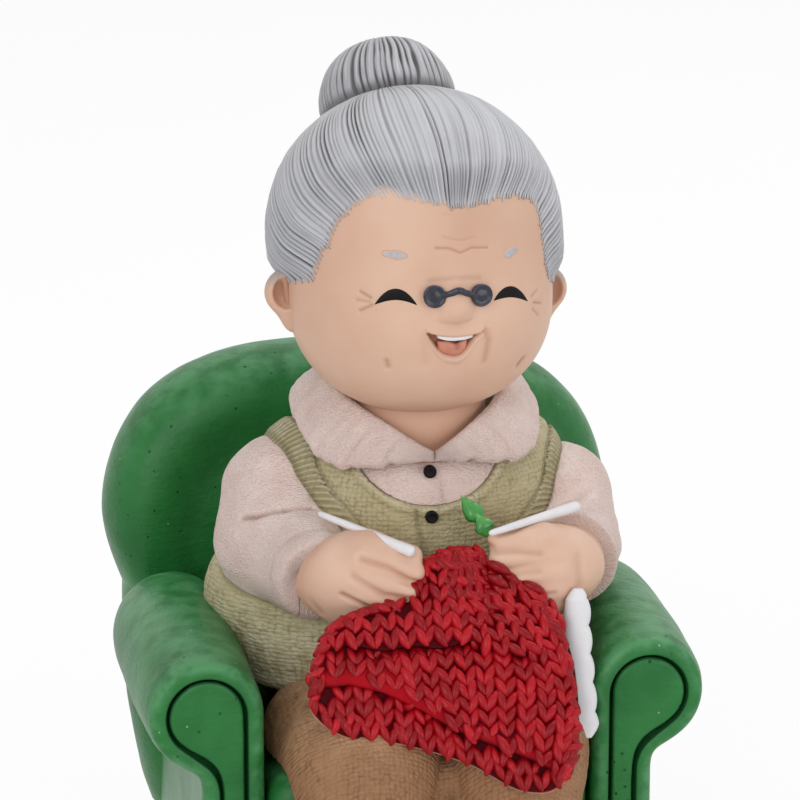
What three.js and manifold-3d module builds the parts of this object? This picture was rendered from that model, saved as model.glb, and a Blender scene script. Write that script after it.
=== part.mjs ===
// A grandmother who sits in an armchair and knits: a painted resin figurine, as its separately cast pieces.
// Millimetres, +Z up, the floor at z = 0. The chair faces -Y. Left and right are as seen from the front.
import * as THREE from "three";
import { mergeVertices } from "three/addons/utils/BufferGeometryUtils.js";
import Module from "manifold-3d";

const wasm = await Module();
wasm.setup();

const at = (x, y, z) => new THREE.Vector3(x, y, z);

// Glue gap that every piece keeps to its neighbours.
const seam = 0.3;

// Longer than any rounded piece is from its middle to its skin.
const castReach = 60;

// Armchair
const footHeight = 6;
const footRadius = 3.4;
const armHeight = 43.6;
const armFront = -29;
const armBack = 19;
const seatHalfWidth = 19.9;
const armThickness = 7.5;
const armNeckHeight = 25.5;
const rollRadius = 6.9;
const rollSwell = 0.6;
const rollRearDrop = 3.2;
const rollMiddle = -4;
const rollWrapDegrees = 50;
const armEdge = 1.4;
const panelInset = 2.1;
const panelDepth = 1.3;
const baseFront = -26.5;
const baseHeight = 10;
const baseEdge = 1;
const cushionThickness = 12;
const cushionFront = -30;
const cushionRound = 3.4;
const backMiddleHeight = 37;
const backRise = 31.2;
const backFall = 45;
const backOverhang = 6.7;
const backHalfWidth = seatHalfWidth + armThickness + backOverhang;
const backSquareness = 3.1;
const backWaist = 0.09;
const waistTop = 50;
const waistDrop = 13;
const backThickness = 19;
const backShift = -0.5;
const backCentreY = 24;
const backWrap = 2.4;

// Torso, from its place on the seat
const figureShift = 2.4;
const bellyCentre = at(-1.2, -3.6, 15.5);
const bellyRadii = at(24.9, 16.8, 13.8);
const skirtDrop = 6.5;
const skirtRadii = at(22.6, 16.4, 14);
const chestCentre = at(0, -4.8, 27.5);
const chestRadii = at(17.2, 13.5, 13);
const shoulderEnds = [at(-13.4, -3, 31.6), at(12.8, -3, 30.8)];
const shoulderThickness = 5.6;
const hemHeight = 5.5;
const necklineCentreHeight = 37;
const necklineHalfWidth = 9.6;
const necklineDrop = 8;
const shirtRecess = 0.7;
const neckRadius = 8.4;
const neckBase = at(0, -6, 28);
const neckTop = at(-0.4, -8.6, 44);
const buttonRadius = 0.8;
const buttonShift = -0.4;
const shirtButtonHeight = 33.2;
const vestButtonHeight = 28;

// Legs and feet
const lapShift = -1.4;
const hipRadii = at(20, 15, 9);
const hipHeight = 6;
const thighSpread = 9;
const thighRadius = 7.6;
const thighHeight = -0.8;
const kneeSpread = 9.2;
const kneeForward = 28;
const kneeHeight = 1;
const kneeRadius = 8.6;
const shinRadius = 7.4;
const ankleRadius = 5.6;
const ankleForward = 35;
const cuffHeight = 7;
const slipperRadii = at(5.4, 8.6, 4.6);

// Head, in its own turned frame with its origin in the middle of the skull
const headRise = 17.4;
const headPlace = neckTop.clone().add(at(-0.2, 1, headRise));
const headTurnDegrees = 6;
const skullRadii = at(16.7, 16.4, 15.9);
const jowlDrop = 9.9;
const jowlForward = 3.2;
const jowlRadii = at(15.7, 13.9, 12);
const hairThickness = 1.4;
const hairlineStops = [[0, 19], [26, 22], [44, 29], [62, 46], [90, 56], [110, 74], [140, 104], [180, 112]];
const bunPlace = at(-0.3, 10.6, 13.8);
const bunRadii = at(8.5, 8.2, 8.1);
const earPlace = at(16.2, -1.4, -7.4);
const earRoll = 0.8;
const earRadii = at(2.9, 1.9, 2.9);
const lobeDrop = 2.9;
const lobeRadii = at(1.9, 1.5, 2.3);
const eyeSpacing = 7.2;
const eyeHeight = -5.7;
const eyeHalfWidth = 2.45;
const eyeRise = 2.1;
const eyeThickness = 1.3;
const eyeDroop = 0.4;
const browHeight = -0.4;
const browHalfWidth = 1.4;
const browHalfHeight = 0.65;
const decalThickness = 0.35;
const noseHeight = -6.8;
const noseRadii = at(1.9, 1.7, 1.4);
const lensRadius = 1.3;
const lensSpacing = 2.9;
const lensHeight = -4.9;
const lensThickness = 1;
const bridgeThickness = 0.55;
const mouthHeight = -9.8;
const mouthHalfWidth = 3.1;
const mouthOpening = 2.7;
const mouthDepth = 1.3;
const teethHeight = 0.8;

// Arms and hands, from the figure's place on the seat
const leftArm = {
  side: -1, shoulder: at(-16.4, -4, 27.7), elbow: at(-17, -8, 22.8), wrist: at(-15, -18.2, 21.8),
  shoulderRadius: 7.7, elbowRadius: 8, palm: at(-9.9, -22, 21.6), fist: at(6.4, 4.3, 6.2), reach: 6, slope: -1.7,
  cuffReach: 3.2,
};
const rightArm = {
  side: 1, shoulder: at(18.1, -4, 25.5), elbow: at(18.3, -7.5, 20.3), wrist: at(17.2, -17, 21.4),
  shoulderRadius: 7.2, elbowRadius: 6.9, palm: at(13.4, -22, 22), fist: at(6.8, 4.3, 5.2), reach: 6.9, slope: -0.4,
  cuffReach: 1,
};
const wristRadius = 5.6;
const fingerRadius = 1.6;
const fingerPitch = 2.3;
const leftNeedle = { thin: at(-14.2, -18.4, 29.1), thick: at(-4, -26.6, 26) };
const rightNeedle = { thin: at(5.1, -26.6, 27.9), thick: at(17.8, -18.2, 28.4) };
const needleThinRadius = 0.5;
const needleThickRadius = 0.82;

// Collar: its neck edge and its outer edge, from the front to the nape
const collarThickness = 1.3;
const collarNeckEdge = [
  at(0.2, -18.2, 36.1), at(2, -17.9, 37.2), at(3.8, -17.3, 38.3), at(5.6, -16.2, 39.4), at(7.4, -14.6, 40.4),
  at(9.3, -11.8, 41.6), at(10.2, -8.4, 42.5), at(10.4, -4, 43.2), at(9.2, 1.2, 43.7), at(0.2, 5, 44),
];
const collarOuterEdge = [
  at(0.3, -18.8, 35.2), at(3.4, -18.5, 34.8), at(7, -17.7, 34.1), at(10.2, -16.2, 33.5), at(12.6, -14.4, 33.4),
  at(14.4, -11.8, 35), at(15.3, -8.2, 36.9), at(15.7, -4.4, 38.4), at(14.2, 2.2, 39.6), at(0.2, 10.2, 40.6),
];

// Knitting: its outline from the front, and how its sheet slopes down over the lap
const knitOutline = [
  [2.7, 25.7], [7.2, 22.5], [11.7, 19.6], [14.1, 14.3], [14.3, 7.5], [13.2, 2.5], [10.5, 0], [6.5, 0.1], [0.6, 3.1],
  [-7.4, 5.6], [-14.5, 6.9], [-17.6, 9.5], [-16.9, 14], [-14.4, 18.2], [-10.1, 19.6], [-5.3, 19.9], [-3.2, 21.6], [-1.4, 24.8],
];
const knitCentre = [-1, 12];
const knitTopForward = 25;
const knitTopHeight = 24;
const knitSlope = 0.62;
const knitThickness = 4.6;
const knitBulge = 1.5;
const knitFoldDepth = 1;
const tailPath = [at(16.5, -26.9, 20.5), at(16.2, -27.4, 15.6), at(16.4, -29, 9.4), at(16.4, -31.4, 3.2)];
const tailHalfWidth = 2;
const tailHalfThickness = 1;
const tailWaves = 5;
const leafTip = at(3.4, -21.4, 30.4);
const leafRoot = at(5.6, -23.6, 27.8);
const leafRadii = at(1.15, 0.7, 1.5);

// Derived heights and places
const baseTop = footHeight + baseHeight;
const seatTop = baseTop + cushionThickness;
const armOuter = seatHalfWidth + armThickness;
const floor = -seatTop;
const thighAt = (side) => at(lapShift + side * thighSpread, 0, thighHeight);
const kneeAt = (side) => at(lapShift + side * kneeSpread, -kneeForward, kneeHeight);
const ankleAt = (side) => at(lapShift + side * kneeSpread, -ankleForward, floor + cuffHeight);

// Distance fields, negative inside

const ellipsoid = (centre, radii) => (p) => {
  const q = p.clone().sub(centre).divide(radii);
  const steepness = q.clone().divide(radii).length();
  const reach = q.length();
  return steepness > 1e-9 ? (reach * (reach - 1)) / steepness : -Math.min(radii.x, radii.y, radii.z);
};

const limb = (start, end, startRadius, endRadius = startRadius) => (p) => {
  const along = end.clone().sub(start);
  const share = THREE.MathUtils.clamp(p.clone().sub(start).dot(along) / along.lengthSq(), 0, 1);
  const radius = THREE.MathUtils.lerp(startRadius, endRadius, share);
  return p.distanceTo(start.clone().addScaledVector(along, share)) - radius;
};

const smoothLeast = (a, b, reach) => {
  const overlap = Math.max(reach - Math.abs(a - b), 0) / reach;
  return Math.min(a, b) - (overlap * overlap * reach) / 4;
};

const blend = (reach, ...fields) => (p) => fields.map((f) => f(p)).reduce((a, b) => smoothLeast(a, b, reach));

const carve = (reach, body, tool) => (p) => -smoothLeast(-body(p), tool(p), reach);

// Solids

function solidOf(geometry) {
  const bare = geometry.clone();
  bare.deleteAttribute("normal");
  bare.deleteAttribute("uv");
  const merged = mergeVertices(bare, 1e-4);
  const triVerts = new Uint32Array(merged.index.array);
  return new wasm.Manifold(
    new wasm.Mesh({ numProp: 3, vertProperties: merged.attributes.position.array, triVerts }),
  );
}

function geometryOf(solid) {
  const mesh = solid.getMesh();
  const geometry = new THREE.BufferGeometry();
  const points = [];
  for (let i = 0; i < mesh.numVert; i++)
    points.push(...mesh.vertProperties.subarray(i * mesh.numProp, i * mesh.numProp + 3));
  geometry.setAttribute("position", new THREE.Float32BufferAttribute(points, 3));
  geometry.setIndex([...mesh.triVerts]);
  geometry.computeVertexNormals();
  return geometry;
}

const cut = (solid, ...tools) => tools.reduce((left, tool) => left.subtract(tool), solid);

// The piece that stays when a cut leaves slivers behind.
const largest = (solid) => solid.decompose().reduce((a, b) => (a.volume() > b.volume() ? a : b));

// A closed surface round a centre that lies inside the field, where the field equals grow.
function cast(field, centre, { across = 24, down = 16, grow = 0, reach = castReach } = {}) {
  const ball = new THREE.SphereGeometry(1, across, down);
  ball.rotateX(Math.PI / 2);
  const position = ball.attributes.position;
  const direction = at(0, 0, 0);
  for (let i = 0; i < position.count; i++) {
    direction.fromBufferAttribute(position, i).normalize();
    let inside = 0;
    let outside = reach;
    for (let step = 0; step < 26; step++) {
      const middle = (inside + outside) / 2;
      if (field(centre.clone().addScaledVector(direction, middle)) < grow) inside = middle;
      else outside = middle;
    }
    const point = centre.clone().addScaledVector(direction, inside);
    position.setXYZ(i, point.x, point.y, point.z);
  }
  return solidOf(ball);
}

function block(low, high) {
  const size = high.clone().sub(low);
  const geometry = new THREE.BoxGeometry(size.x, size.y, size.z);
  const middle = low.clone().add(high).multiplyScalar(0.5);
  return solidOf(geometry.translate(middle.x, middle.y, middle.z));
}

const FAR = 200;
const below = (z) => block(at(-FAR, -FAR, -FAR), at(FAR, FAR, z));
const above = (z) => block(at(-FAR, -FAR, z), at(FAR, FAR, FAR));

// Half of space beyond a point, along a direction.
function beyond(point, direction) {
  const slab = new THREE.BoxGeometry(FAR, FAR, FAR).translate(0, 0, FAR / 2);
  const turn = new THREE.Quaternion().setFromUnitVectors(at(0, 0, 1), direction.clone().normalize());
  slab.applyQuaternion(turn);
  return solidOf(slab.translate(point.x, point.y, point.z));
}

// A shape drawn in X and Z, extruded from the plane y = front back to y = back.
function frontExtrusion(shape, front, back, curveSegments = 6) {
  const geometry = new THREE.ExtrudeGeometry(shape, { depth: back - front, curveSegments, bevelEnabled: false });
  geometry.rotateX(Math.PI / 2);
  return solidOf(geometry.translate(0, back, 0));
}

// A solid from points and faces, turned so that its faces point out.
function closedSolid(points, faces) {
  const geometry = new THREE.BufferGeometry();
  geometry.setAttribute("position", new THREE.Float32BufferAttribute(points, 3));
  geometry.setIndex(faces);
  const solid = solidOf(geometry);
  if (solid.volume() > 0) return solid;
  for (let i = 0; i < faces.length; i += 3) [faces[i + 1], faces[i + 2]] = [faces[i + 2], faces[i + 1]];
  geometry.setIndex(faces);
  return solidOf(geometry);
}

function ringFaces(rings, count) {
  const faces = [];
  for (let i = 0; i < rings - 1; i++)
    for (let j = 0; j < count; j++) {
      const next = (j + 1) % count;
      const [a, b] = [i * count + j, i * count + next];
      faces.push(a, a + count, b + count, a, b + count, b);
    }
  return faces;
}

// Rings of points joined along a path, with a point at each end.
function loft(rings, start, end) {
  const count = rings[0].length;
  const faces = ringFaces(rings.length, count);
  const startIndex = rings.length * count;
  const last = startIndex - count;
  for (let j = 0; j < count; j++) {
    const next = (j + 1) % count;
    faces.push(startIndex, j, next, startIndex + 1, last + next, last + j);
  }
  return closedSolid([...rings.flat(), start, end].flatMap((p) => p.toArray()), faces);
}

// A shape's outline without the points that an arc and a line share.
function outlineOf(shape, divisions) {
  const points = shape.getPoints(divisions);
  return points.filter((p, i) => p.distanceTo(points.at(i - 1)) > 1e-4);
}

// Outlines drawn in X and Z, each at its own y from the front to the back, joined and closed at both ends.
function stack(stations, divisions) {
  const outlines = stations.map(({ shape }) => outlineOf(shape, divisions));
  const count = outlines[0].length;
  const faces = ringFaces(stations.length, count);
  const rear = (stations.length - 1) * count;
  const turned = THREE.ShapeUtils.isClockWise(outlines[0]);
  for (const [a, b, c] of THREE.ShapeUtils.triangulateShape(outlines[0], []))
    faces.push(...(turned ? [a, c, b] : [a, b, c]));
  for (const [a, b, c] of THREE.ShapeUtils.triangulateShape(outlines.at(-1), []))
    faces.push(...(turned ? [rear + a, rear + b, rear + c] : [rear + a, rear + c, rear + b]));
  const points = outlines.flatMap((outline, i) => outline.flatMap((p) => [p.x, stations[i].y, p.y]));
  return closedSolid(points, faces);
}

// A closed skin between two grids of points of the same size.
function shellOf(outer, inner) {
  const rows = outer.length;
  const columns = outer[0].length;
  const front = (i, j) => i * columns + j;
  const rear = (i, j) => rows * columns + i * columns + j;
  const faces = [];
  const quad = (a, b, c, d) => faces.push(a, b, c, a, c, d);
  for (let i = 0; i < rows - 1; i++)
    for (let j = 0; j < columns - 1; j++) {
      quad(front(i, j), front(i + 1, j), front(i + 1, j + 1), front(i, j + 1));
      quad(rear(i, j), rear(i, j + 1), rear(i + 1, j + 1), rear(i + 1, j));
    }
  for (let i = 0; i < rows - 1; i++) {
    quad(front(i, 0), rear(i, 0), rear(i + 1, 0), front(i + 1, 0));
    quad(front(i + 1, columns - 1), rear(i + 1, columns - 1), rear(i, columns - 1), front(i, columns - 1));
  }
  for (let j = 0; j < columns - 1; j++) {
    quad(front(0, j + 1), rear(0, j + 1), rear(0, j), front(0, j));
    quad(front(rows - 1, j), rear(rows - 1, j), rear(rows - 1, j + 1), front(rows - 1, j + 1));
  }
  return closedSolid([...outer.flat(), ...inner.flat()].flatMap((p) => p.toArray()), faces);
}

// Armchair, in its own frame

// The roll swells towards the middle of the arm and falls away where it meets the back.
function rollAt(y) {
  const end = y < rollMiddle ? armFront : armBack;
  const share = (y - rollMiddle) / (end - rollMiddle);
  return rollRadius + rollSwell - (y < rollMiddle ? rollSwell * share ** 2 : rollRearDrop * share ** 3);
}

function armOutline(inset, roll) {
  const inner = seatHalfWidth + inset;
  const outer = armOuter - inset;
  const radius = roll - inset;
  const centreX = seatHalfWidth + roll;
  const centreZ = armHeight - 2 * (rollRadius + rollSwell - roll) - roll;
  const wrap = THREE.MathUtils.degToRad(rollWrapDegrees);
  const endX = centreX + radius * Math.cos(wrap);
  const endZ = centreZ - radius * Math.sin(wrap);
  const lead = roll / 2;
  const shape = new THREE.Shape();
  shape.moveTo(inner, footHeight + inset);
  shape.lineTo(inner, centreZ);
  shape.absarc(centreX, centreZ, radius, Math.PI, -wrap, true);
  shape.bezierCurveTo(
    endX - lead * Math.sin(wrap), endZ - lead * Math.cos(wrap),
    outer, armNeckHeight + lead,
    outer, armNeckHeight,
  );
  shape.lineTo(outer, footHeight + inset);
  return shape;
}

const sided = (solid, side) => (side > 0 ? solid : solid.mirror([1, 0, 0]));

function armBlank(side, grow) {
  const edge = [[0, 1], [0.3, 0.3], [1, 0]].map(([along, inset]) => ({
    y: armFront - grow + along * armEdge,
    inset: inset * armEdge - grow,
  }));
  const steps = 8;
  for (let i = 1; i <= steps; i++) {
    const y = THREE.MathUtils.lerp(armFront + armEdge, armBack, i / steps);
    edge.push({ y, inset: -grow });
  }
  return sided(stack(edge.map(({ y, inset }) => ({ y, shape: armOutline(inset, rollAt(y)) })), 6), side);
}

const panelBlank = (side, inset, front, back) =>
  sided(frontExtrusion(armOutline(inset, rollAt(armFront)), front, back), side);

function backBlank(grow) {
  const half = backThickness / 2;
  const around = 40;
  const profile = [[0.4, 1], [0.66, 1], [0.82, 0.93], [0.92, 0.76], [0.98, 0.44]];
  const curve = (v) => Math.sign(v) * Math.abs(v) ** (2 / backSquareness);
  const point = (j, share, depth) => {
    const round = (2 * Math.PI * (j + 0.5)) / around;
    const rise = Math.sin(round) > 0 ? backRise : backFall;
    const z = backMiddleHeight + curve(Math.sin(round)) * (rise + grow) * share;
    const waist = 1 - backWaist * THREE.MathUtils.clamp((waistTop - z) / waistDrop, 0, 1) ** 2;
    const x = curve(Math.cos(round)) * (backHalfWidth + grow) * share * waist;
    const y = backCentreY + depth * (half + grow) + backWrap * (1 - (x / backHalfWidth) ** 2);
    return at(backShift + x, y, z);
  };
  const rings = [...profile.map(([share, depth]) => [share, -depth]), [1, 0], ...profile.toReversed()].map(
    ([share, depth]) => Array.from({ length: around }, (_, j) => point(j, share, depth)),
  );
  const centre = (depth) => at(backShift, backCentreY + depth * (half + grow) + backWrap, backMiddleHeight);
  return cut(loft(rings, centre(-1), centre(1)), below(footHeight - grow));
}

// A slab with rounded long edges and a rounded front.
function slab(halfX, front, back, low, high, round, grow) {
  const shape = (inset) => {
    const radius = Math.max(round - inset, 0.05);
    const [right, bottom, top] = [halfX - inset + grow, low + inset - grow, high - inset + grow];
    const outline = new THREE.Shape();
    outline.absarc(right - radius, top - radius, radius, 0, Math.PI / 2);
    outline.absarc(radius - right, top - radius, radius, Math.PI / 2, Math.PI);
    outline.absarc(radius - right, bottom + radius, radius, Math.PI, Math.PI * 1.5);
    outline.absarc(right - radius, bottom + radius, radius, Math.PI * 1.5, Math.PI * 2);
    return outline;
  };
  const edge = [[0, 1], [0.08, 0.6], [0.3, 0.28], [0.6, 0.08], [1, 0]].map(([along, inset]) => ({
    y: front - grow + along * round,
    shape: shape(inset * round),
  }));
  return stack([...edge, { y: back, shape: shape(0) }], 3);
}

const cushionBlank = (grow) =>
  slab(seatHalfWidth - seam, cushionFront, backCentreY, baseTop + seam, seatTop, cushionRound, grow);

const baseBlank = (grow) =>
  slab(seatHalfWidth - seam, baseFront, backCentreY, footHeight, baseTop, baseEdge, grow);

function footAt(x, y) {
  const profile = [
    [0, 0], [0.72, 0], [1, 0.3], [0.96, 0.65], [0.78, 0.85], [0.78, 1], [0, 1],
  ].map(([r, h]) => new THREE.Vector2(r * footRadius, h * (footHeight - seam)));
  const geometry = new THREE.LatheGeometry(profile, 14);
  geometry.rotateX(Math.PI / 2);
  return solidOf(geometry.translate(x, y, 0));
}

// Figure, in a frame with its origin on top of the seat

const torsoField = blend(
  5,
  ellipsoid(bellyCentre, bellyRadii),
  ellipsoid(bellyCentre.clone().sub(at(0, 0, skirtDrop)), skirtRadii),
  ellipsoid(chestCentre, chestRadii),
  limb(shoulderEnds[0], shoulderEnds[1], shoulderThickness),
);
const torsoCentre = at(0, bellyCentre.y, (bellyCentre.z + chestCentre.z) / 2);
const torsoBlank = (grow) => cast(torsoField, torsoCentre, { across: 30, down: 18, grow });
const vestBlank = (grow) => cut(torsoBlank(grow), below(hemHeight - grow));

const neckField = limb(neckBase, neckTop, neckRadius);
const neckBlank = (grow) => cast(neckField, neckTop.clone().lerp(neckBase, 0.5), { across: 18, down: 10, grow });

function oval(x, z, halfWidth, halfHeight) {
  const shape = new THREE.Shape();
  shape.absellipse(x, z, halfWidth, halfHeight, 0, 2 * Math.PI);
  return shape;
}

const necklinePrism = (grow) =>
  frontExtrusion(
    oval(0, necklineCentreHeight, necklineHalfWidth + grow, necklineDrop + grow),
    -FAR,
    chestCentre.y - neckRadius / 3,
  );

function limbBlank({ shoulder, elbow, wrist, shoulderRadius, elbowRadius }, grow) {
  const field = blend(
    2,
    limb(shoulder, elbow, shoulderRadius, elbowRadius),
    limb(elbow, wrist, elbowRadius, wristRadius),
  );
  return cast(field, elbow, { across: 18, down: 14, grow });
}

function sleeveBlank(arm, grow) {
  const forearm = arm.wrist.clone().sub(arm.elbow).normalize();
  return cut(limbBlank(arm, grow), beyond(arm.wrist.clone().addScaledVector(forearm, arm.cuffReach + grow), forearm));
}

// A fist: a palm with its wrist, four fingers that point to the middle, and a thumb on top.
function handBlank({ side, wrist, palm, fist, reach, slope }, grow) {
  const towards = -side;
  const palmField = blend(2, ellipsoid(palm, fist), limb(palm, palm.clone().lerp(wrist, 0.9), 3.9));
  const digit = (root, tip, radius) => {
    const [start, end] = [root, tip].map(([x, y, z]) => palm.clone().add(at(towards * x, y, z)));
    const field = limb(start, end, radius, radius * 0.85);
    return cast(field, start.lerp(end, 0.5), { across: 8, down: 5, grow, reach: 12 });
  };
  let hand = cast(palmField, palm, { across: 15, down: 10, grow });
  for (let i = 0; i < 4; i++) {
    const z = fist.z * 0.55 - i * fingerPitch;
    const bend = 0.35 * Math.sin((Math.PI * (i + 0.5)) / 4);
    const root = [1.6, 0.4 - fist.y + fingerRadius * 0.4 - bend, z];
    const tip = [reach - 0.55 * i, -fist.y + fingerRadius * 0.2 - bend, z + slope];
    hand = hand.add(digit(root, tip, fingerRadius));
  }
  const thumbZ = fist.z * 0.55 + fingerPitch * 0.75;
  return hand.add(digit([1, 1 - fist.y / 2, thumbZ - 0.4], [reach, -fist.y / 2 - 0.4, thumbZ + slope], fingerRadius));
}

function needleBlank({ thin, thick }, grow) {
  const along = thick.clone().sub(thin);
  const rod = new THREE.CylinderGeometry(
    needleThickRadius + grow, needleThinRadius + grow, along.length() + 2 * grow, 10,
  );
  rod.applyQuaternion(new THREE.Quaternion().setFromUnitVectors(at(0, 1, 0), along.clone().normalize()));
  const middle = thin.clone().lerp(thick, 0.5);
  return solidOf(rod.translate(middle.x, middle.y, middle.z));
}

function collarBlank(side, grow) {
  const mirrored = (points) => new THREE.CatmullRomCurve3(points.map((p) => at(side * p.x, p.y, p.z)));
  const neckEdge = mirrored(collarNeckEdge);
  const outerEdge = mirrored(collarOuterEdge);
  const columns = 14;
  const rows = 3;
  const outer = [];
  const inner = [];
  for (let i = 0; i <= columns; i++) {
    const from = neckEdge.getPoint(i / columns);
    const to = outerEdge.getPoint(i / columns);
    const across = to.clone().sub(from).normalize();
    const normal = across.clone().cross(outerEdge.getTangent(i / columns)).normalize().multiplyScalar(side);
    from.addScaledVector(across, -grow);
    to.addScaledVector(across, grow);
    const line = Array.from({ length: rows + 1 }, (_, j) => {
      const share = j / rows;
      return from.clone().lerp(to, share).addScaledVector(normal, 0.7 * Math.sin(Math.PI * share) + grow);
    });
    outer.push(line);
    inner.push(line.map((p) => p.clone().addScaledVector(normal, -collarThickness - 2 * grow)));
  }
  return cut(shellOf(outer, inner), beyond(at(side * (seam / 2 - grow), 0, 0), at(-side, 0, 0)));
}

// How far forward the knitting's middle surface lies at a height.
const knitForward = (z) => knitTopForward + knitSlope * (knitTopHeight - z);

// A crease under the needles and a hem that rolls over the layer below it.
function knitFold(x, z) {
  const crease = 14.6 + 0.02 * x;
  const hem = 9.4 - 0.3 * (x + 8);
  return knitFoldDepth * (Math.tanh((z - crease) / 0.7) - Math.tanh((z - hem) / 0.8));
}

function knittingBlank(grow) {
  const outline = new THREE.CatmullRomCurve3(knitOutline.map(([x, z]) => at(x, 0, z)), true);
  const around = 34;
  const rim = outline.getPoints(around).slice(0, around);
  const [centreX, centreZ] = knitCentre;
  const shares = [0.3, 0.58, 0.82, 0.96, 1];
  const point = (p, share, face) => {
    const outward = at(p.x - centreX, 0, p.z - centreZ);
    outward.setLength(outward.length() * share + grow * share);
    const [x, z] = [centreX + outward.x, centreZ + outward.z];
    const body = Math.sqrt(Math.max(1 - share ** 3, 0));
    const front = knitForward(z) + (knitBulge + 0.5 * knitFold(x, z)) * body + grow;
    const back = knitForward(z) - knitThickness * body - 0.8 - grow;
    return at(x, face > 0 ? -front : -back, z);
  };
  const rings = [
    ...shares.map((share) => rim.map((p) => point(p, share, 1))),
    ...shares.toReversed().map((share) => rim.map((p) => point(p, share, -1))),
  ];
  const middle = at(centreX + 1e-6, 0, centreZ);
  return loft(rings, point(middle, 0, 1), point(middle, 0, -1));
}

function woolTailBlank(grow) {
  const path = new THREE.CatmullRomCurve3(tailPath);
  const steps = 16;
  const sides = 10;
  const rings = [];
  for (let i = 0; i <= steps; i++) {
    const share = i / steps;
    const middle = path.getPoint(share);
    const along = path.getTangent(share);
    const across = at(1, 0, 0).projectOnPlane(along).normalize();
    const out = across.clone().cross(along).normalize();
    const taper = Math.sin(Math.PI * (0.06 + 0.87 * share)) ** 0.4;
    const wave = 1 + 0.08 * Math.sin(2 * Math.PI * tailWaves * share);
    const [wide, thick] = [tailHalfWidth * taper * wave + grow, tailHalfThickness * taper + grow];
    const ring = Array.from({ length: sides }, (_, j) => {
      const round = (2 * Math.PI * j) / sides;
      return middle.clone().addScaledVector(across, wide * Math.cos(round)).addScaledVector(out, thick * Math.sin(round));
    });
    rings.push(ring);
  }
  return loft(rings, path.getPoint(0), path.getPoint(1));
}

function leafBlank() {
  const lobe = (share, size) => {
    const centre = leafTip.clone().lerp(leafRoot, share);
    return cast(ellipsoid(centre, leafRadii.clone().multiplyScalar(size)), centre, { across: 10, down: 8, reach: 6 });
  };
  const stalk = limb(leafTip, leafRoot, 0.4);
  const stalkSolid = cast(stalk, leafTip.clone().lerp(leafRoot, 0.5), { across: 8, down: 6, reach: 8 });
  return lobe(0.3, 1).add(lobe(0.8, 0.9)).add(stalkSolid);
}

const legField = (side) =>
  blend(
    2,
    limb(thighAt(side), kneeAt(side), thighRadius, kneeRadius),
    limb(kneeAt(side).add(at(0, kneeRadius - shinRadius - 3, 0)), ankleAt(side), shinRadius, ankleRadius),
  );

function trousersBlank(grow) {
  const hipCentre = at(lapShift, 0, hipHeight);
  const hips = cast(ellipsoid(hipCentre, hipRadii), hipCentre, { across: 18, down: 10, grow });
  const leg = (side) => cast(legField(side), kneeAt(side), { across: 18, down: 14, grow });
  return cut(hips.add(leg(-1)).add(leg(1)), below(floor + cuffHeight - grow));
}

function slipperBlank(side) {
  const ankle = ankleAt(side);
  const foot = at(ankle.x, ankle.y - slipperRadii.y / 2, floor + slipperRadii.z * 0.8);
  const field = blend(2, ellipsoid(foot, slipperRadii), limb(foot, ankle, 4, ankleRadius - 0.8));
  return cut(cast(field, foot, { across: 18, down: 12 }), below(floor), above(floor + cuffHeight - seam));
}

// Where a line straight back from the front meets a field, as a y coordinate.
function frontOf(field, x, z) {
  let inside = 0;
  let outside = -80;
  for (let step = 0; step < 30; step++) {
    const middle = (inside + outside) / 2;
    if (field(at(x, middle, z)) < 0) inside = middle;
    else outside = middle;
  }
  return inside;
}

function button(z, recess) {
  const profile = [[0, 0], [1, 0], [1, 0.35], [0.75, 0.8], [0, 1]].map(
    ([r, h]) => new THREE.Vector2(r * buttonRadius, h * buttonRadius),
  );
  const geometry = new THREE.LatheGeometry(profile, 12);
  geometry.rotateX(Math.PI);
  const front = Math.max(...[-1, 0, 1].map((i) => frontOf(torsoField, buttonShift, z + i * buttonRadius) * -1));
  return solidOf(geometry.translate(buttonShift, recess - front - seam, z));
}

// Head, in its own frame

const noseCentre = at(0, -skullRadii.y - 0.4, noseHeight);
const faceField = blend(5, ellipsoid(at(0, 0, 0), skullRadii), ellipsoid(at(0, -jowlForward, -jowlDrop), jowlRadii));
const headField = blend(1.6, faceField, ellipsoid(noseCentre, noseRadii));
const headBlank = (grow, field = faceField) => cast(field, at(0, 0, 0), { across: 28, down: 20, grow });

// The hairline as an angle from the face's axis, for a direction round that axis.
function hairlineAngle(round) {
  const fromTop = Math.abs(THREE.MathUtils.radToDeg(Math.atan2(Math.cos(round), Math.sin(round))));
  const next = hairlineStops.findIndex(([stop]) => stop > fromTop - 1e-6);
  const [stopB, angleB] = hairlineStops[Math.max(next, 1)];
  const [stopA, angleA] = hairlineStops[Math.max(next, 1) - 1];
  const share = (fromTop - stopA) / (stopB - stopA);
  return THREE.MathUtils.degToRad(THREE.MathUtils.lerp(angleA, angleB, share));
}

function hairlineCutter() {
  const around = 30;
  const steps = 4;
  const point = (i, j) => {
    const round = (2 * Math.PI * i) / around;
    const tilt = (hairlineAngle(round) * j) / steps;
    const direction = at(Math.sin(tilt) * Math.cos(round), -Math.cos(tilt), Math.sin(tilt) * Math.sin(round));
    return direction.multiplyScalar(3 * skullRadii.x);
  };
  const rings = [];
  for (let j = 1; j <= steps; j++) rings.push(Array.from({ length: around }, (_, i) => point(i, j)));
  return loft(rings, point(0, 0), at(0, 0, 0));
}

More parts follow.
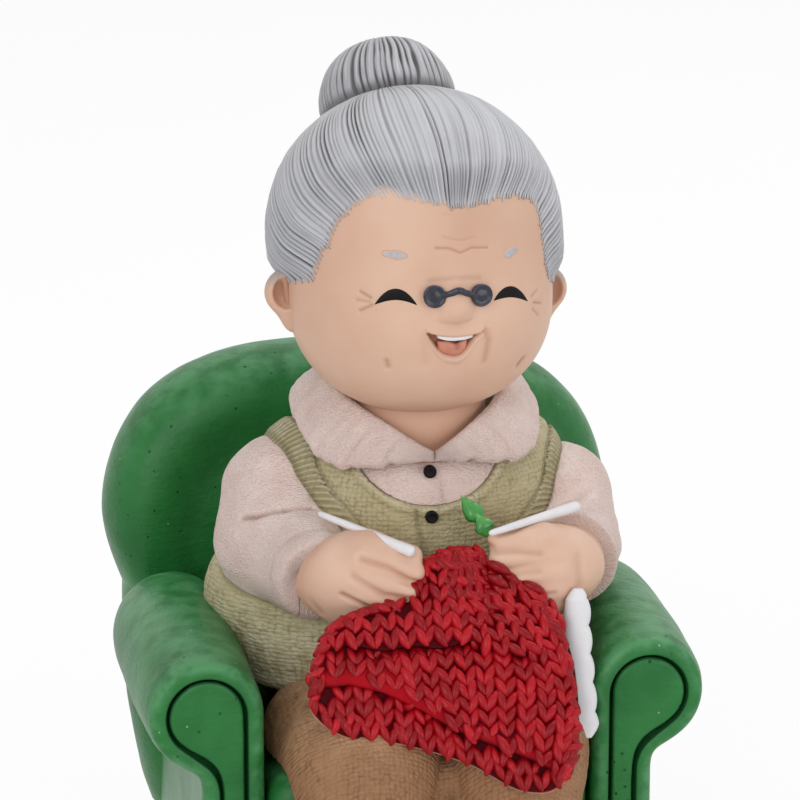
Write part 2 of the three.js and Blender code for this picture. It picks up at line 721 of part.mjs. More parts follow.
function earBlank(side, grow) {
  const centre = at(side * earPlace.x, earPlace.y, earPlace.z - side * earRoll);
  const lobeCentre = centre.clone().add(at(side * (lobeRadii.x - earRadii.x), 0, -lobeDrop));
  const bowlCentre = centre.clone().add(at(side * 0.8, -1.6, 0.2));
  const bowl = ellipsoid(bowlCentre, earRadii.clone().multiply(at(0.55, 0.8, 0.75)));
  const field = carve(0.8, blend(1.5, ellipsoid(centre, earRadii), ellipsoid(lobeCentre, lobeRadii)), bowl);
  return cast(field, centre.clone().add(at(0, 0.9, 0)), { across: 14, down: 10, grow });
}

// A thin piece that lies on the face inside an outline seen from the front.
const decal = (outline, low, high) =>
  cut(frontExtrusion(outline, -FAR, 0).intersect(headBlank(high)), headBlank(low));

function crescent(side) {
  const x = side * eyeSpacing;
  const [inner, outer] = [x - side * eyeHalfWidth, x + side * eyeHalfWidth];
  const shape = new THREE.Shape();
  shape.moveTo(outer, eyeHeight - eyeDroop);
  shape.quadraticCurveTo(x, eyeHeight + 2 * eyeRise, inner, eyeHeight);
  shape.quadraticCurveTo(x, eyeHeight + 2 * (eyeRise - eyeThickness), outer, eyeHeight - eyeDroop);
  return shape;
}

// The open mouth: a straight upper edge with a bowl under it.
function mouthShape(inset) {
  const [half, top] = [mouthHalfWidth - inset, mouthHeight - inset];
  const shape = new THREE.Shape();
  shape.moveTo(-half, top);
  shape.quadraticCurveTo(0, top - 2 * (mouthOpening - 2 * inset), half, top);
  shape.closePath();
  return shape;
}

const mouthRecess = () => cut(frontExtrusion(mouthShape(0), -FAR, 0), headBlank(-mouthDepth));

const lensDisc = (side, grow, front, back) =>
  frontExtrusion(oval(side * lensSpacing, lensHeight, lensRadius + grow, lensRadius + grow), front, back);

function glasses() {
  const back = -skullRadii.y / 2;
  const front = Math.min(...[0, lensSpacing].map((x) => frontOf(headField, x, lensHeight))) - lensThickness;
  const arch = new THREE.Shape();
  arch.moveTo(-lensSpacing, lensHeight - bridgeThickness / 2);
  arch.lineTo(lensSpacing, lensHeight - bridgeThickness / 2);
  arch.lineTo(lensSpacing, lensHeight + bridgeThickness / 2);
  arch.quadraticCurveTo(0, lensHeight + 3 * bridgeThickness, -lensSpacing, lensHeight + bridgeThickness / 2);
  const bridge = frontExtrusion(arch, front, back);
  const lenses = lensDisc(1, 0, front, back).add(lensDisc(-1, 0, front, back));
  return cut(lenses.add(bridge), headBlank(seam, headField));
}

// Materials, by the colour of the paint

const paint = (color, roughness = 0.6) => new THREE.MeshStandardMaterial({ color, roughness, metalness: 0 });
const upholstery = paint("#2f7a45", 0.55);
const darkWood = paint("#4a2c1a", 0.5);
const skin = paint("#dcae90", 0.5);
const hair = paint("#a9aab0", 0.5);
const blouse = paint("#d9c3ba", 0.7);
const oliveKnit = paint("#a9a377", 0.75);
const brownWeave = paint("#9c7350", 0.8);
const redWool = paint("#a81e2c", 0.5);
const whitePaint = paint("#e4e2e4", 0.5);
const blackPaint = paint("#17161a", 0.35);
const darkLens = paint("#23263a", 0.3);
const leafGreen = paint("#2e8a2c", 0.3);
const mouthPink = paint("#c9705c", 0.45);
const browGrey = paint("#a6a9b4", 0.5);
const slipperRed = paint("#8c2f35", 0.6);

function piece(name, solid, material) {
  const mesh = new THREE.Mesh(geometryOf(largest(solid)), material);
  mesh.name = name;
  return mesh;
}

// Groups, and the cutting tools of each brought into the frame of the next

const chair = new THREE.Group();
const figure = new THREE.Group();
figure.position.set(figureShift, 0, seatTop);
const head = new THREE.Group();
head.position.copy(headPlace);
head.rotation.z = THREE.MathUtils.degToRad(headTurnDegrees);
figure.add(head);
figure.updateMatrix();
head.updateMatrix();
const toFigure = figure.matrix.clone().invert();
const toHead = head.matrix.clone().invert();
const inFigure = (solid) => solid.transform(toFigure.elements);
const inHead = (solid) => solid.transform(toHead.elements);
const fromHead = (solid) => solid.transform(head.matrix.elements);

const backTool = backBlank(seam);
const chairTools = [backTool, armBlank(-1, seam), armBlank(1, seam), cushionBlank(seam), baseBlank(seam)].map(inFigure);
const vestTool = vestBlank(seam);
const neckTool = neckBlank(seam);
const skullTool = headBlank(seam);
const headTool = fromHead(skullTool);
const trousersTool = trousersBlank(seam);
const collarTools = [collarBlank(-1, seam), collarBlank(1, seam)];
const arms = { left: { ...leftArm, needle: leftNeedle }, right: { ...rightArm, needle: rightNeedle } };
const bothArms = Object.values(arms);
const sleeveTools = bothArms.map((arm) => sleeveBlank(arm, seam));
const handTools = bothArms.map((arm) => handBlank(arm, seam));
const needleTools = bothArms.map((arm) => needleBlank(arm.needle, seam));
const earTools = [earBlank(-1, seam), earBlank(1, seam)];

// Armchair pieces
chair.add(piece("chair_back", backBlank(0), upholstery));
chair.add(piece("chair_base", cut(baseBlank(0), backTool), upholstery));
chair.add(piece("seat_cushion", cut(cushionBlank(0), backTool), upholstery));
for (const [name, side] of [["left", -1], ["right", 1]]) {
  const pocket = panelBlank(side, panelInset, armFront - 1, armFront + panelDepth);
  const panel = panelBlank(side, panelInset + seam, armFront, armFront + panelDepth - seam);
  chair.add(piece(`chair_arm_${name}`, cut(armBlank(side, 0), pocket, backTool), upholstery));
  chair.add(piece(`arm_front_panel_${name}`, panel, upholstery));
  chair.add(piece(`foot_front_${name}`, footAt(side * (armOuter - footRadius - seam), armFront + footRadius + armEdge), darkWood));
  chair.add(piece(`foot_rear_${name}`, footAt(side * (seatHalfWidth - 1), backCentreY), darkWood));
}

// Torso, legs and feet
figure.add(piece("trousers", cut(trousersBlank(0), vestTool, ...chairTools), brownWeave));
figure.add(piece("vest", cut(vestBlank(0), necklinePrism(0), neckTool, headTool, ...collarTools, ...chairTools), oliveKnit));
const shirtCore = torsoBlank(-shirtRecess).intersect(necklinePrism(-seam));
figure.add(piece("shirt_front", cut(shirtCore, neckTool, ...collarTools), blouse));
figure.add(piece("neck", cut(neckBlank(0), headTool), skin));
figure.add(piece("collar_left", cut(collarBlank(-1, 0), neckTool, headTool), blouse));
figure.add(piece("collar_right", cut(collarBlank(1, 0), neckTool, headTool), blouse));
figure.add(piece("shirt_button", button(shirtButtonHeight, shirtRecess), blackPaint));
figure.add(piece("vest_button", button(vestButtonHeight, 0), blackPaint));

// Arms, hands and needles
for (const [name, arm] of Object.entries(arms)) {
  const sleeve = cut(sleeveBlank(arm, 0), vestTool, headTool, ...collarTools, ...needleTools, ...chairTools);
  const hand = cut(handBlank(arm, 0), vestTool, ...sleeveTools, ...needleTools, ...chairTools, trousersTool);
  figure.add(piece(`sleeve_${name}`, sleeve, blouse));
  figure.add(piece(`hand_${name}`, hand, skin));
  figure.add(piece(`needle_${name}`, needleBlank(arm.needle, 0), whitePaint));
  figure.add(piece(`slipper_${name}`, slipperBlank(arm.side), slipperRed));
}

// What lies on the lap and in the hands
const lapTools = [vestTool, trousersTool, ...sleeveTools, ...handTools, ...needleTools, ...chairTools];
figure.add(piece("knitting", cut(knittingBlank(0), ...lapTools), redWool));
figure.add(piece("wool_tail", cut(woolTailBlank(0), knittingBlank(seam), ...lapTools), whitePaint));
figure.add(piece("leaf", cut(leafBlank(), ...lapTools), leafGreen));

// Head pieces
head.add(piece("head", cut(headBlank(0, headField), mouthRecess()), skin));
const neckParts = [neckTool, vestTool, ...collarTools].map(inHead);
const hairShell = cut(headBlank(hairThickness), skullTool, hairlineCutter(), ...earTools, ...neckParts);
head.add(piece("hair_cap", hairShell, hair));
const bun = cast(ellipsoid(bunPlace, bunRadii), bunPlace, { across: 22, down: 12 });
head.add(piece("hair_bun", cut(bun, headBlank(hairThickness + seam)), hair));
for (const [name, side] of [["left", -1], ["right", 1]]) {
  const eye = cut(decal(crescent(side), seam, seam + decalThickness), lensDisc(side, seam, -FAR, 0));
  const brow = decal(oval(side * eyeSpacing, browHeight, browHalfWidth, browHalfHeight), seam, seam + decalThickness);
  head.add(piece(`eye_${name}`, eye, blackPaint));
  head.add(piece(`eyebrow_${name}`, brow, browGrey));
  head.add(piece(`ear_${name}`, cut(earBlank(side, 0), skullTool), skin));
}
head.add(piece("glasses", glasses(), darkLens));
const mouthFill = decal(mouthShape(seam), seam - mouthDepth, -seam / 2);
const teethLine = mouthHeight - seam - teethHeight;
head.add(piece("teeth", cut(mouthFill, below(teethLine)), whitePaint));
head.add(piece("tongue", cut(mouthFill, above(teethLine - seam)), mouthPink));

// The whole figurine, with the middle of its width and depth over the origin
const figurine = new THREE.Group();
figurine.add(chair, figure);
figurine.updateMatrixWorld(true);
const bounds = new THREE.Box3().setFromObject(figurine, true);
figurine.position.set(-(bounds.min.x + bounds.max.x) / 2, -(bounds.min.y + bounds.max.y) / 2, 0);

export default figurine;
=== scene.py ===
"""A grandmother who knits in an armchair: the painted surface of a cast resin figurine, round its solids.

Shapes are worked out in millimetres, in the frames of the chair, the figure and the head.
"""

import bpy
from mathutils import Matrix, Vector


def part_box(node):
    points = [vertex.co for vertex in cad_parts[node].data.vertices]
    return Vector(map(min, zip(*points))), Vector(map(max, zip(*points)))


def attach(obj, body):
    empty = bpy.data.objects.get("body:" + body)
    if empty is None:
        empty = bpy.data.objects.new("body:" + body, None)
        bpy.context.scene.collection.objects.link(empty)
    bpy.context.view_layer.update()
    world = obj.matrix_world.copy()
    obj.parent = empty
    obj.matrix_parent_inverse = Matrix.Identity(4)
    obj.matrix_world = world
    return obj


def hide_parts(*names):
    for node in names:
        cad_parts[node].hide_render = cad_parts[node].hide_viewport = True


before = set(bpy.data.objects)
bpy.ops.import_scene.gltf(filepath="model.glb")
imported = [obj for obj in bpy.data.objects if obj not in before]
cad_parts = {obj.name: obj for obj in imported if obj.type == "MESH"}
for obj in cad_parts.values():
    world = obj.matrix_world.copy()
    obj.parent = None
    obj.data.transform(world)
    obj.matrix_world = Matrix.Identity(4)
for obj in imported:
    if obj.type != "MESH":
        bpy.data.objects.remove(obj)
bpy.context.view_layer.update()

import logging
import math
from dataclasses import dataclass, field, replace
from enum import Enum
from functools import cache
from typing import Callable, Sequence

import bpy
import numpy as np
import openvdb
from mathutils import Matrix, Vector

Points = np.ndarray
Field = Callable[[Points], Points]
Colour = tuple[float, float, float]
Socket = bpy.types.NodeSocket

MM = 0.001
SIDES = (("left", -1), ("right", 1))
LOG = logging.getLogger("figurine")


def vec(x: float, y: float, z: float) -> Points:
    """A point or direction as an array."""
    return np.array([x, y, z], float)


def full_turn(count: int) -> Points:
    """Angles spaced evenly round a circle."""
    return np.linspace(0, 2 * math.pi, count, endpoint=False)


def smooth_step(value: Points, low: float, high: float) -> Points:
    """Eased share from 0 at low to 1 at high."""
    t = np.clip((value - low) / (high - low), 0.0, 1.0)
    return t * t * (3 - 2 * t)


def bell(value: Points, middle: float, width: float) -> Points:
    """A bump of height 1 at middle, that falls off over width."""
    return np.exp(-(((value - middle) / width) ** 2))


def hill_noise(points: Points, pitch: float, seed: int) -> Points:
    """Smooth random heights.

    Args:
        points: Where to read it, in millimetres.
        pitch: Distance between hills.
        seed: Picks the pattern.

    Returns:
        One value from -1 to 1 for each point.
    """
    q = points / pitch + seed * 17.31
    cell = np.floor(q).astype(np.int64)
    t = q - cell
    t = t * t * (3 - 2 * t)
    total = np.zeros(len(points))
    for corner in range(8):
        step = np.array([corner & 1, corner >> 1 & 1, corner >> 2 & 1])
        c = cell + step
        h = (c[:, 0] * 73856093) ^ (c[:, 1] * 19349663) ^ (c[:, 2] * 83492791) ^ (seed * 97531)
        h = ((h ^ (h >> 13)) * 1274126177) & 0xFFFFFFFF
        h = h ^ (h >> 16)
        total += np.prod(np.where(step, t, 1 - t), axis=1) * ((h & 0xFFFF) / 32767.5 - 1)
    return total


# Frames


@dataclass(frozen=True)
class Placement:
    """Where a local frame lies in the part's frame: its origin, and a turn about the vertical."""

    origin: tuple[float, float, float]
    turn_degrees: float = 0.0

    def matrix(self) -> Points:
        """The turn as a 3 by 3 matrix."""
        angle = math.radians(self.turn_degrees)
        c, s = math.cos(angle), math.sin(angle)
        return np.array([[c, -s, 0], [s, c, 0], [0, 0, 1]])

    def out(self, points: Points) -> Points:
        """Local points in the part's frame."""
        return points @ self.matrix().T + np.array(self.origin)

    def into(self, points: Points) -> Points:
        """Points of the part's frame as local ones."""
        return (points - np.array(self.origin)) @ self.matrix()


FRONT_FOOT_Y = -24.2
FOOT_LOW, FOOT_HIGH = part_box("foot_front_left")
CHAIR_Y = (FOOT_LOW.y + FOOT_HIGH.y) / 2 / MM - FRONT_FOOT_Y
SEAT_TOP = 28.0
FIGURE_X = 2.4
HEAD_IN_FIGURE = (-0.6, -7.6, 61.4)
HEAD_TURN = 6.0
CHAIR = Placement((0.0, CHAIR_Y, 0.0))
FIGURE = Placement((FIGURE_X, CHAIR_Y, SEAT_TOP))
HEAD = Placement(tuple(a + b for a, b in zip(FIGURE.origin, HEAD_IN_FIGURE)), HEAD_TURN)


# Distance fields, negative inside


def ellipsoid(centre: Points, radii: Points) -> Field:
    """A field whose surface is an ellipsoid."""

    def value(p: Points) -> Points:
        q = (p - centre) / radii
        reach = np.sqrt((q * q).sum(1))
        steep = np.sqrt(((q / radii) ** 2).sum(1)) + 1e-9
        return reach * (reach - 1) / steep

    return value


def limb(start: Points, end: Points, start_radius: float, end_radius: float) -> Field:
    """A field round a straight bone, with a radius at each end."""
    along = end - start
    length2 = float(along @ along)

    def value(p: Points) -> Points:
        share = np.clip(((p - start) @ along) / length2, 0, 1)
        gap = p - start - share[:, None] * along
        return np.sqrt((gap * gap).sum(1)) - (start_radius + (end_radius - start_radius) * share)

    return value


def rounded_box(low: Points, high: Points, radius: float) -> Field:
    """A field whose surface is a box with rounded edges."""
    middle, half = (low + high) / 2, (high - low) / 2 - radius

    def value(p: Points) -> Points:
        q = np.abs(p - middle) - half
        outside = np.sqrt((np.maximum(q, 0) ** 2).sum(1))
        return outside + np.minimum(q.max(1), 0) - radius

    return value


def smooth_least(a: Points, b: Points, reach: float) -> Points:
    """The lesser of two fields, eased where they are closer than reach."""
    overlap = np.maximum(reach - np.abs(a - b), 0) / reach
    return np.minimum(a, b) - overlap * overlap * reach / 4


def blend(reach: float, *fields: Field) -> Field:
    """Several fields joined with eased creases."""

    def value(p: Points) -> Points:
        total = fields[0](p)
        for other in fields[1:]:
            total = smooth_least(total, other(p), reach)
        return total

    return value


def smooth_cut(body: Points, tool: Points, reach: float) -> Points:
    """A field without what lies in another one, with an eased rim."""
    return -smooth_least(-body, tool, reach)


def line_gap(p: Points, line: Points) -> Points:
    """Distance of each point from a broken line."""
    best = np.full(len(p), 1e9)
    for a, b in zip(line[:-1], line[1:]):
        along = b - a
        share = np.clip(((p - a) @ along) / (along @ along), 0, 1)
        best = np.minimum(best, np.linalg.norm(p - a - share[:, None] * along, axis=1))
    return best


def slopes(surface: Field, points: Points, step: float = 0.05) -> Points:
    """Unit directions in which a field grows, at points near its surface."""
    out = np.empty_like(points)
    for axis in range(3):
        shift = np.zeros(3)
        shift[axis] = step
        out[:, axis] = surface(points + shift) - surface(points - shift)
    return out / (np.linalg.norm(out, axis=1, keepdims=True) + 1e-12)


def cast(surface: Field, origins: Points, directions: Points, reach: float = 60.0) -> Points:
    """Where rays leave a field.

    Args:
        surface: The field.
        origins: A start inside the field, or one for each ray.
        directions: Unit directions.
        reach: Longest ray.

    Returns:
        One point for each ray.
    """
    inside = np.zeros(len(directions))
    outside = np.full(len(directions), reach)
    for _ in range(24):
        middle = (inside + outside) / 2
        within = surface(origins + directions * middle[:, None]) < 0
        inside = np.where(within, middle, inside)
        outside = np.where(within, outside, middle)
    return origins + directions * inside[:, None]


# Shapes


@dataclass
class Shape:
    """Points and faces of one closed piece, with values for each point."""

    points: Points
    faces: list
    values: dict = field(default_factory=dict)

    def volume(self) -> float:
        """Enclosed volume, negative where the faces point inwards."""
        total = 0.0
        for size in (3, 4):
            same = [f for f in self.faces if len(f) == size]
            if not same:
                continue
            p = self.points[np.array(same)]
            for k in range(1, size - 1):
                total += float((np.cross(p[:, 0], p[:, k]) * p[:, k + 1]).sum())
        return total / 6

    def outward(self) -> "Shape":
        """The shape with its faces pointing outwards."""
        faces = [f[::-1] for f in self.faces] if self.volume() < 0 else self.faces
        return Shape(self.points, faces, self.values)

    def pushed(self, directions: Points, heights: Points) -> "Shape":
        """The shape with its points moved along directions."""
        return Shape(self.points + directions * heights[:, None], self.faces, self.values)


def as_one(shapes: Sequence[Shape]) -> Shape:
    """Several plain shapes as one, with all their faces pointing outwards."""
    faces, start = [], 0
    for shape in shapes:
        faces += [[i + start for i in f] for f in shape.outward().faces]
        start += len(shape.points)
    return Shape(np.vstack([shape.points for shape in shapes]), faces)


def voxel_shape(surface: Field, low: Points, high: Points, voxel: float) -> Shape:
    """A closed mesh of a field.

    Args:
        surface: The field.
        low: Lowest corner of the space that holds it.
        high: Highest corner.
        voxel: Size of a cell.

    Returns:
        The shape, in the field's frame.
    """
    axes = [np.arange(a - 2 * voxel, b + 2 * voxel, voxel) for a, b in zip(low, high)]
    values = np.empty([len(a) for a in axes], np.float32)
    y, z = np.meshgrid(axes[1], axes[2], indexing="ij")
    for i, x in enumerate(axes[0]):
        points = np.stack([np.full_like(y, x), y, z], axis=-1).reshape(-1, 3)
        values[i] = surface(points).reshape(y.shape)
    band = 3 * voxel
    grid = openvdb.FloatGrid(band)
    grid.copyFromArray(np.clip(values, -band, band))
    grid.transform = openvdb.createLinearTransform(voxelSize=voxel)
    points, quads = grid.convertToQuads(isovalue=0.0)
    points = points.astype(float) + np.array([a[0] for a in axes])
    return Shape(points, quads.astype(int).tolist())


def ring_shape(rings: Sequence[Points], start: Points, end: Points) -> Shape:
    """Rings of points joined along a path, with a point at each end."""
    around = len(rings[0])
    count = len(rings)
    i, j = np.meshgrid(np.arange(count - 1), np.arange(around), indexing="ij")
    a = (i * around + j).ravel()
    b = (i * around + (j + 1) % around).ravel()
    faces = np.stack([a, b, b + around, a + around], axis=1).tolist()
    first, last = count * around, (count - 1) * around
    for k in range(around):
        following = (k + 1) % around
        faces.append([first, following, k])
        faces.append([first + 1, last + k, last + following])
    return Shape(np.vstack([*rings, start[None], end[None]]), faces)


def sheet_shape(outer: Points, inner: Points) -> Shape:
    """A closed skin between two grids of points of the same size."""
    rows, columns = outer.shape[:2]
    index = np.arange(rows * columns).reshape(rows, columns)
    quads = np.stack([index[:-1, :-1], index[1:, :-1], index[1:, 1:], index[:-1, 1:]], axis=-1).reshape(-1, 4)
    back = quads[:, ::-1] + rows * columns
    rim = np.concatenate([index[0, :-1], index[:-1, -1], index[-1, :0:-1], index[:0:-1, 0]])
    after = np.roll(rim, -1)
    edge = np.stack([rim, after, after + rows * columns, rim + rows * columns], axis=1)
    faces = np.vstack([quads, back, edge]).tolist()
    return Shape(np.vstack([outer.reshape(-1, 3), inner.reshape(-1, 3)]), faces)


def curve_points(knots: Points, count: int, closed: bool = False) -> Points:
    """Points along a smooth curve through knots, spaced by the square root of their distances."""
    knots = np.asarray(knots, float)
    if closed:
        padded = np.vstack([knots[-1], knots, knots[0], knots[1]])
    else:
        padded = np.vstack([2 * knots[0] - knots[1], knots, 2 * knots[-1] - knots[-2]])
    spans = len(padded) - 3
    at = np.linspace(0, spans, count, endpoint=not closed)
    out = []
    for value in at:
        i = min(int(value), spans - 1)
        p0, p1, p2, p3 = padded[i:i + 4]
        d1, d2, d3 = (max(np.linalg.norm(b - a), 1e-6) ** 0.5 for a, b in ((p0, p1), (p1, p2), (p2, p3)))
        m1 = (p1 - p0) / d1 - (p2 - p0) / (d1 + d2) + (p2 - p1) / d2
        m2 = (p2 - p1) / d2 - (p3 - p1) / (d2 + d3) + (p3 - p2) / d3
        t, m1, m2 = value - i, m1 * d2, m2 * d2
        blend0, blend1 = 2 * t**3 - 3 * t**2 + 1, t**3 - 2 * t**2 + t
        out.append(blend0 * p1 + blend1 * m1 + (1 - blend0) * p2 + (t**3 - t**2) * m2)
    return np.array(out)


def tube_shape(path: Points, widths: Points, depths: Points, across: Points, around: int) -> Shape:
    """A closed tube of oval section.

    Args:
        path: Its middle line.
        widths: Half width at each point, along across.
        depths: Half depth at each point.
        across: Direction of the width.
        around: Points in a ring.

    Returns:
        The shape.
    """
    along = np.gradient(path, axis=0)
    along /= np.linalg.norm(along, axis=1, keepdims=True)
    side = across - (along @ across)[:, None] * along
    side /= np.linalg.norm(side, axis=1, keepdims=True)
    out = np.cross(side, along)
    angle = full_turn(around)
    rings = [
        path[i] + np.outer(np.cos(angle) * widths[i], side[i]) + np.outer(np.sin(angle) * depths[i], out[i])
        for i in range(len(path))
    ]
    return ring_shape(rings, path[0], path[-1])


def lathe_shape(profile: Sequence[tuple[float, float]], around: int) -> Shape:
    """A turned piece about the vertical, from (radius, height) pairs that start and end on the axis."""
    angle = full_turn(around)
    circle = np.stack([np.cos(angle), np.sin(angle), 0 * angle], axis=1)
    rings = [radius * circle + [0, 0, height] for radius, height in profile[1:-1]]
    return ring_shape(rings, vec(0, 0, profile[0][1]), vec(0, 0, profile[-1][1]))


# Finishes


class Relief(Enum):
    """What the paint's surface is cast with."""

    SMOOTH = "smooth"
    BRUSHED = "brushed"
    CREPE = "crepe"
    CELLS = "cells"
    STRANDS = "strands"


class Nodes:
    """Short calls for building one material's node tree."""

    def __init__(self, name: str) -> None:
        """An empty material of that name with an output."""
        self.material = bpy.data.materials.new(name)
        self.material.use_nodes = True
        self.tree = self.material.node_tree
        self.tree.nodes.clear()

    def add(self, kind: str, inputs: dict | None = None, **settings: object) -> bpy.types.Node:
        """A node with its settings, and its inputs set or linked by name."""
        node = self.tree.nodes.new(kind)
        for key, value in settings.items():
            setattr(node, key, value)
        for key, value in (inputs or {}).items():
            if isinstance(value, Socket):
                self.tree.links.new(value, node.inputs[key])
            else:
                node.inputs[key].default_value = value
        return node

    def math(self, operation: str, first: object, second: object = 0.0, clamp: bool = False) -> Socket:
        """The result of a math node."""
        settings = {"operation": operation, "use_clamp": clamp}
        return self.add("ShaderNodeMath", {0: first, 1: second}, **settings).outputs[0]

    def times(self, first: object, second: object) -> Socket:
        """The product of two values."""
        return self.math("MULTIPLY", first, second)

    def parts(self, vector: object) -> Sequence[Socket]:
        """The three parts of a vector."""
        return self.add("ShaderNodeSeparateXYZ", {0: vector}).outputs

    def mix(self, share: object, first: object, second: object) -> Socket:
        """One colour mixed over another."""
        node = self.add("ShaderNodeMix", data_type="RGBA")
        for key, value in ((0, share), (6, first), (7, second)):
            if isinstance(value, Socket):
                self.tree.links.new(value, node.inputs[key])
            elif key:
                node.inputs[key].default_value = (*value, 1.0)
            else:
                node.inputs[key].default_value = value
        return node.outputs[2]

    def between(self, value: object, low: float, high: float) -> Socket:
        """Eased share from 0 at low to 1 at high."""
        inputs = {"Value": value, "From Min": low, "From Max": high}
        return self.add("ShaderNodeMapRange", inputs, interpolation_type="SMOOTHSTEP").outputs[0]

    def value(self, name: str) -> Socket:
        """A mesh value, 0 where the mesh has none of that name."""
        return self.add("ShaderNodeAttribute", attribute_name=name).outputs["Fac"]

    def vector(self, name: str) -> Socket:
        """A mesh value with three parts."""
        return self.add("ShaderNodeAttribute", attribute_name=name).outputs["Vector"]

    def object_mm(self) -> Socket:
        """Object coordinates in millimetres."""
        coordinate = self.add("ShaderNodeTexCoord").outputs["Object"]
        return self.add("ShaderNodeMapping", {"Vector": coordinate, "Scale": (1000, 1000, 1000)}).outputs[0]

    def noise(self, vector: object, scale: float, detail: float = 3.0) -> Socket:
        """Cloudy values from 0 to 1."""
        return self.add("ShaderNodeTexNoise", {"Vector": vector, "Scale": scale, "Detail": detail}).outputs[0]

    def cells(self, vector: object, scale: float, randomness: float) -> Socket:
        """Distance from the nearest of scattered points."""
        inputs = {"Vector": vector, "Scale": scale, "Randomness": randomness}
        return self.add("ShaderNodeTexVoronoi", inputs).outputs["Distance"]


